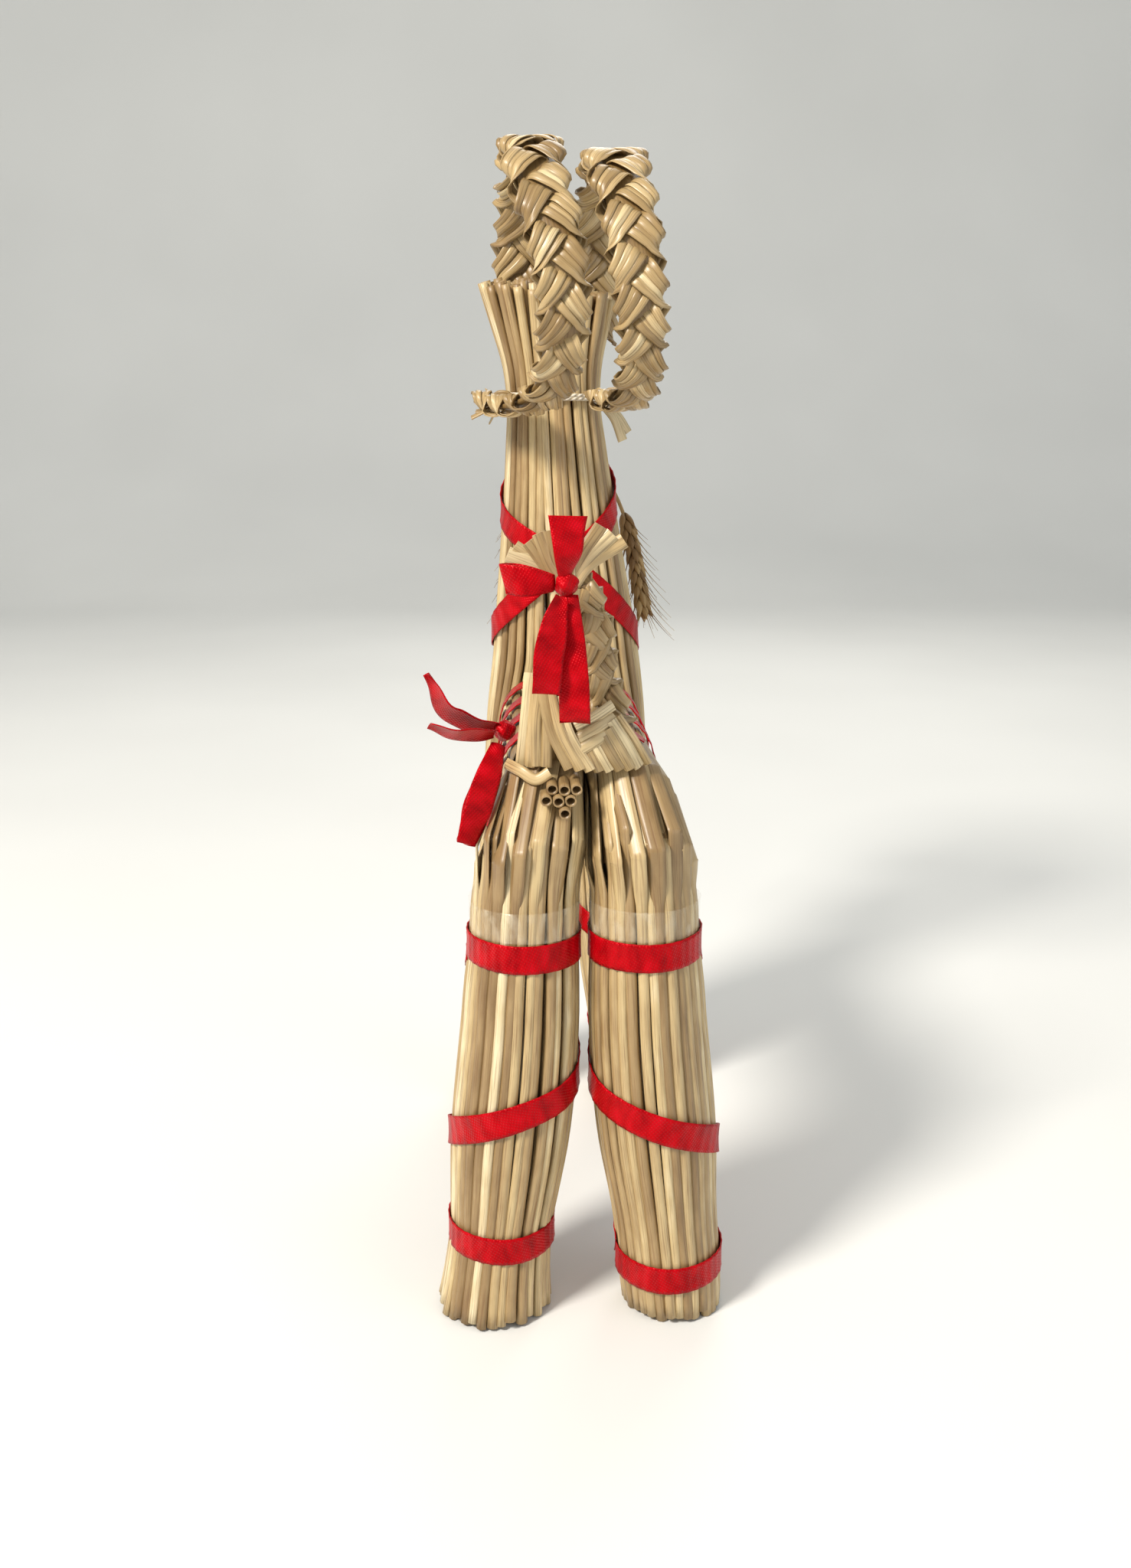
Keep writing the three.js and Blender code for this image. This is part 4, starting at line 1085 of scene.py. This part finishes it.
# Each leg: its surface, its side, the heights of its top and bottom bands, and those of the winding
# at a quarter, a half and three quarters of a turn.
LEGS = [
    ("hind_left", leg_on(hind_rows(19.6), 1, HIND_Y), 133, 30, (88, 78.5, 65)),
    ("hind_right", leg_on(hind_rows(17), -1, HIND_Y), 133, 18, (86, 74, 60)),
    ("front_left", leg_on(FRONT_ROWS, 1, FRONT_Y), 133, 27, (92, 80, 66)),
    ("front_right", leg_on(FRONT_ROWS, -1, FRONT_Y), 133, 25, (92, 80, 66)),
]
for i, (name, surface, top, bottom, (quarter, half, three)) in enumerate(LEGS):
    shape = Shape()
    ring_of(shape, surface, top, 0.4, lift=0.05, seed=300 + i)
    ring_of(shape, surface, bottom, 1.0, lift=0.05, seed=310 + i)
    drop = smooth([(-0.25, top - 2), (0.25, quarter), (0.5, half), (0.75, three), (1.25, bottom + 2)])
    turns = np.linspace(-0.25, 1.25, 190)
    # A leg's own angle runs from the outer side towards the front, so the winding's turns are
    # counted against it on both legs.
    t = math.pi * (2 * (turns - 0.25) - 1)
    ends = ease((turns + 0.25) / 0.12) * ease((1.25 - turns) / 0.12)
    wrap(shape, surface, t, drop(turns)[:, 0], lift=0.05 + 0.6 * ends, seed=320 + i)
    made = piece(f"{name}_leg_ribbon", shape, red_ribbon)
    if name.startswith("hind"):
        tape = Shape()
        ring_of(tape, surface, TAPE_HEIGHT, width=10, lift=0.25, ripple=0.05, seed=330 + i)
        piece(f"{name}_leg_tape", tape, clear_tape)

# The neck's two windings cross behind it: the height of each by quarter turns from the crossing.
CROSSINGS = (
    (1, [(-2, 285), (-1, 262), (0, 241), (1, 208), (2, 201.5)]),
    (-1, [(-2, 290), (-1, 268), (0, 241), (1, 210.5), (2, 204.5)]),
)
shape = Shape()
for direction, rows in CROSSINGS:
    crossing = smooth(rows)
    quarters = np.linspace(-1.97, 1.97, 150)
    t = math.pi / 2 * (1 + direction * quarters)
    lift = 0.45 + 0.3 * (direction < 0)
    wrap(shape, neck_surface, t, crossing(quarters)[:, 0], lift, seed=340 + direction)
neck_ribbon = piece("neck_ribbon", shape, red_ribbon)

shape = Shape()
k = np.linspace(0, 1, 420)
# Seven half turns, from 30 in front of the hind legs' axis to 8 behind the straws' front ends.
round_body = math.pi * 0.75 - 7 * math.pi * k
wrap(shape, body_surface, round_body, HIND_Y - 30 + (CHEST_Y + 38 - HIND_Y) * k, 0.95, seed=350)
body_ribbon = piece("body_ribbon", shape, red_ribbon)


# ---- Bows ----
def free_ribbon(name, points, wide, widths, seed):
    """A free length of ribbon: it runs smoothly through points, its width stays near the direction
    "wide", and "widths" gives half of it along the way."""
    line, span = through(points)
    s = np.linspace(0, span, 48)
    centre = line(s)
    along = unit(np.gradient(centre, axis=0))
    wide = smooth([(i / (len(wide) - 1), *w) for i, w in enumerate(wide)])(s / span)
    across = unit(wide - (wide * along).sum(1, keepdims=True) * along)
    up = np.cross(across, along)
    half = smooth(widths)(s / span)[:, 0]
    draw = dice(seed)
    wave = 0.35 * np.sin(TAU * s / 13 + draw.uniform(0, TAU))[:, None] * up
    shape = Shape()
    # The narrower it is gathered, the deeper it is cupped.
    cup = 1.76 * (1 - half / 5.5)
    ribbon(shape, centre + wave, across, up, half, cup, columns=11, seed=seed)
    made = piece(name, shape, red_ribbon)


# A loop's course: the share of the way out from the knot, and of the gap between its two sides.
LOOP_GAP = 5
LOOP_COURSE = [(0, 0.12), (0.35, 0.5), (0.8, 0.5), (1, 0), (0.8, -0.5), (0.35, -0.5), (0, -0.12)]


def bow_loop(name, knot, leave, far, wide, widths, seed):
    """A loop that leaves the knot, turns at its far end and comes back beside itself."""
    leave, far = np.array(leave, float), np.array(far, float)
    reach = far - leave
    side = unit(np.cross(reach, wide[0])) * LOOP_GAP
    points = [np.array(knot) + leave + share * reach + shift * side for share, shift in LOOP_COURSE]
    free_ribbon(name, points, wide, widths, seed)


def bow_knot(name, middle, radii, seed):
    """Ribbon folded round itself: rings about the knot's axis whose radius swells over the folds."""
    shape = Shape()
    u = np.linspace(0, math.pi, 15)[:, None]
    a = np.linspace(0, TAU, 28, endpoint=False)[None]
    fold = 1 + 0.14 * np.sin(3 * a + 2.6 * u) + 0.09 * np.sin(5 * a - 3.4 * u)
    ring = np.maximum(np.sin(u), 0.04) * fold
    points = np.stack(
        np.broadcast_arrays(
            middle[0] + radii[0] * ring * np.cos(a),
            middle[1] + radii[1] * ring * np.sin(a),
            middle[2] - radii[2] * np.cos(u) * (1 + 0.06 * np.sin(2 * a)),
        ),
        -1,
    )
    shape.skin(points[None], seed=seed)
    piece(name, shape, red_ribbon)


TAIL_KNOT = np.array([6.4, TAIL_Y + 14.6, 250.6])
bow_knot("tail_bow_knot", TAIL_KNOT, (3.5, 3, 3.7), 400)
bow_loop(
    "tail_bow_loop_left", TAIL_KNOT, (3.6, 0, 0.4), (19, -1.5, 1.6),
    [(0.1, 0, 1), (0.3, 0, 1), (0.1, 0, 1)], [(0, 2.6), (0.25, 4.3), (0.5, 4.7), (0.75, 4.3), (1, 2.6)], 401,
)
bow_loop(
    "tail_bow_loop_down", TAIL_KNOT, (-1.4, 0.4, -3), (-2.6, 3.4, -42),
    [(1, 0, 0), (1, -0.2, 0.05), (1, 0, 0)], [(0, 2.2), (0.2, 3.9), (0.5, 4.7), (0.8, 3.9), (1, 2.2)], 402,
)
free_ribbon(
    "tail_bow_end_up",
    [TAIL_KNOT + v for v in ((0, 1.4, 2.6), (-0.4, 3, 11), (-0.4, 1, 20.5))],
    [(1, 0.5, 0), (1, 0.1, 0.36)],
    [(0, 2.2), (0.35, 4.3), (0.8, 5.4), (1, 6)],
    403,
)
free_ribbon(
    "tail_bow_end_down",
    [TAIL_KNOT + v for v in ((1.8, 3.4, -3), (5, 7.8, -17), (6.6, 8.2, -32))],
    [(1, 0.35, 0.1), (1, 0.25, -0.5)],
    [(0, 2), (0.3, 4.1), (0.8, 4.6), (1, 4.2)],
    404,
)
BODY_KNOT = np.array([25.5, HIND_Y - 10, 201])
bow_knot("body_bow_knot", BODY_KNOT, (3.4, 3.2, 3.4), 410)
bow_loop(
    "body_bow_loop", BODY_KNOT, (2, 4, -3.6), (12.4, 22, -31),
    [(0.93, 0, 0.36), (0.8, 0.5, 0.3), (0.93, 0, 0.36)],
    [(0, 2.4), (0.2, 4.3), (0.36, 4.7), (0.5, 3.2), (0.64, 4.7), (0.8, 4.3), (1, 2.4)], 411,
)
free_ribbon(
    "body_bow_end_upper",
    [BODY_KNOT + v for v in ((2.4, 0.6, 1.2), (9, 2, 2.6), (17, 4, 6.4), (24, 5, 20))],
    [(0, 0.7, 0.75), (-0.3, 0.75, 0.7)],
    [(0, 2.8), (0.3, 4.4), (0.75, 4.5), (1, 1)],
    412,
)
free_ribbon(
    "body_bow_end_lower",
    [BODY_KNOT + v for v in ((3, 2.6, 0.2), (13, 7.4, 0.4), (23.6, 9.4, 4))],
    [(0, 0.8, 0.6), (0.2, 0.8, 0.5)],
    [(0, 2.4), (0.3, 4.2), (0.8, 4.4), (1, 3)],
    413,
)

# ---- Beard ----
# Each ear's tip (across, forward of the front legs, height), and how far its stalk bows outwards.
EARS = [
    (-35.5, -15, 211, -8.5),
    (-12, -50, 208, 0),
    (3, -61, 203, 0),
    (14, -52, 209, 0),
    (22, -29, 214, 2),
]
EAR_LENGTH = 50
HUSK_ROWS = 14
HUSKS = 4 * HUSK_ROWS


def wheat_ear(i, tip):
    """A stalk that bends over, with rows of husks towards its tip; each husk is a pointed oval, and a
    thin awn leaves its point."""
    x, forward, z, bow = tip
    root = np.array([HEAD_X + (i - 2) * 3.4, FRONT_Y - 61, 297 - abs(i - 2)])
    end = np.array([x, FRONT_Y + forward, z], float)
    shoulder = root + 0.4 * (end - root) + (bow, 0, 7 - 2 * abs(i - 2))
    spine = Spine([root, shoulder, end])
    shape = Shape()
    s = np.linspace(0, spine.length - 2, 40)
    middle, side, up, _ = spine.frame(s)
    rods(shape, middle[None], up[None], 0.85, 0.8, sides=6, tint=[0.6], seed=500 + i)
    # Husks: four round the ear in each row, every second row turned by 0.7 radians.
    draw = dice(510 + i)
    row = np.repeat(np.arange(HUSK_ROWS), 4)
    at = spine.length - 4 - row * (EAR_LENGTH - 8) / (HUSK_ROWS - 1)
    turn_of = np.tile([0, 1, 2, 3], HUSK_ROWS) * TAU / 4 + row % 2 * 0.7 + draw.normal(0, 0.12, HUSKS)
    middle, side, up, along = spine.frame(at)
    outwards = np.cos(turn_of)[:, None] * side + 0.75 * np.sin(turn_of)[:, None] * up
    lean_out = unit(along + 0.34 * outwards)
    u = np.linspace(0, 1, 8)
    long = (8.6 + draw.normal(0, 0.5, HUSKS)) * np.clip((spine.length - at + 16) / 24, 0.62, 1)
    path = (
        middle[:, None]
        + (1.0 * outwards)[:, None]
        + (long[:, None] * u)[..., None] * lean_out[:, None]
        - 5 * along[:, None]
    )
    swell = np.sin(math.pi * np.clip(u, 0.03, 0.97)) ** 0.8 * (1.15 - 0.45 * u)
    out = np.broadcast_to(outwards[:, None], path.shape)
    tint = np.clip(draw.normal(0.45, 0.18, HUSKS), 0, 1)
    rods(shape, path, out, 1.75 * swell, 1.25 * swell, sides=6, tint=tint, seed=520 + i)
    # Awns: thin bristles, bent outwards.
    w = np.linspace(0, 1, 6)
    reach = draw.uniform(7, 15, HUSKS)[:, None]
    awns = path[:, -1:] + (reach * w)[..., None] * unit(lean_out + 0.12 * outwards)[:, None]
    awns = awns + (0.12 * reach * w * w)[..., None] * outwards[:, None]
    keep = awns[:, -1, 2] > 200
    thin = 0.2 * (1.05 - 0.8 * w)
    rods(shape, awns[keep], out[keep][:, :6], thin, thin, sides=3, tint=tint[keep], seed=530 + i)
    piece(f"beard_ear_{i + 1}", shape, wheat_chaff)


for i, tip in enumerate(EARS):
    wheat_ear(i, tip)
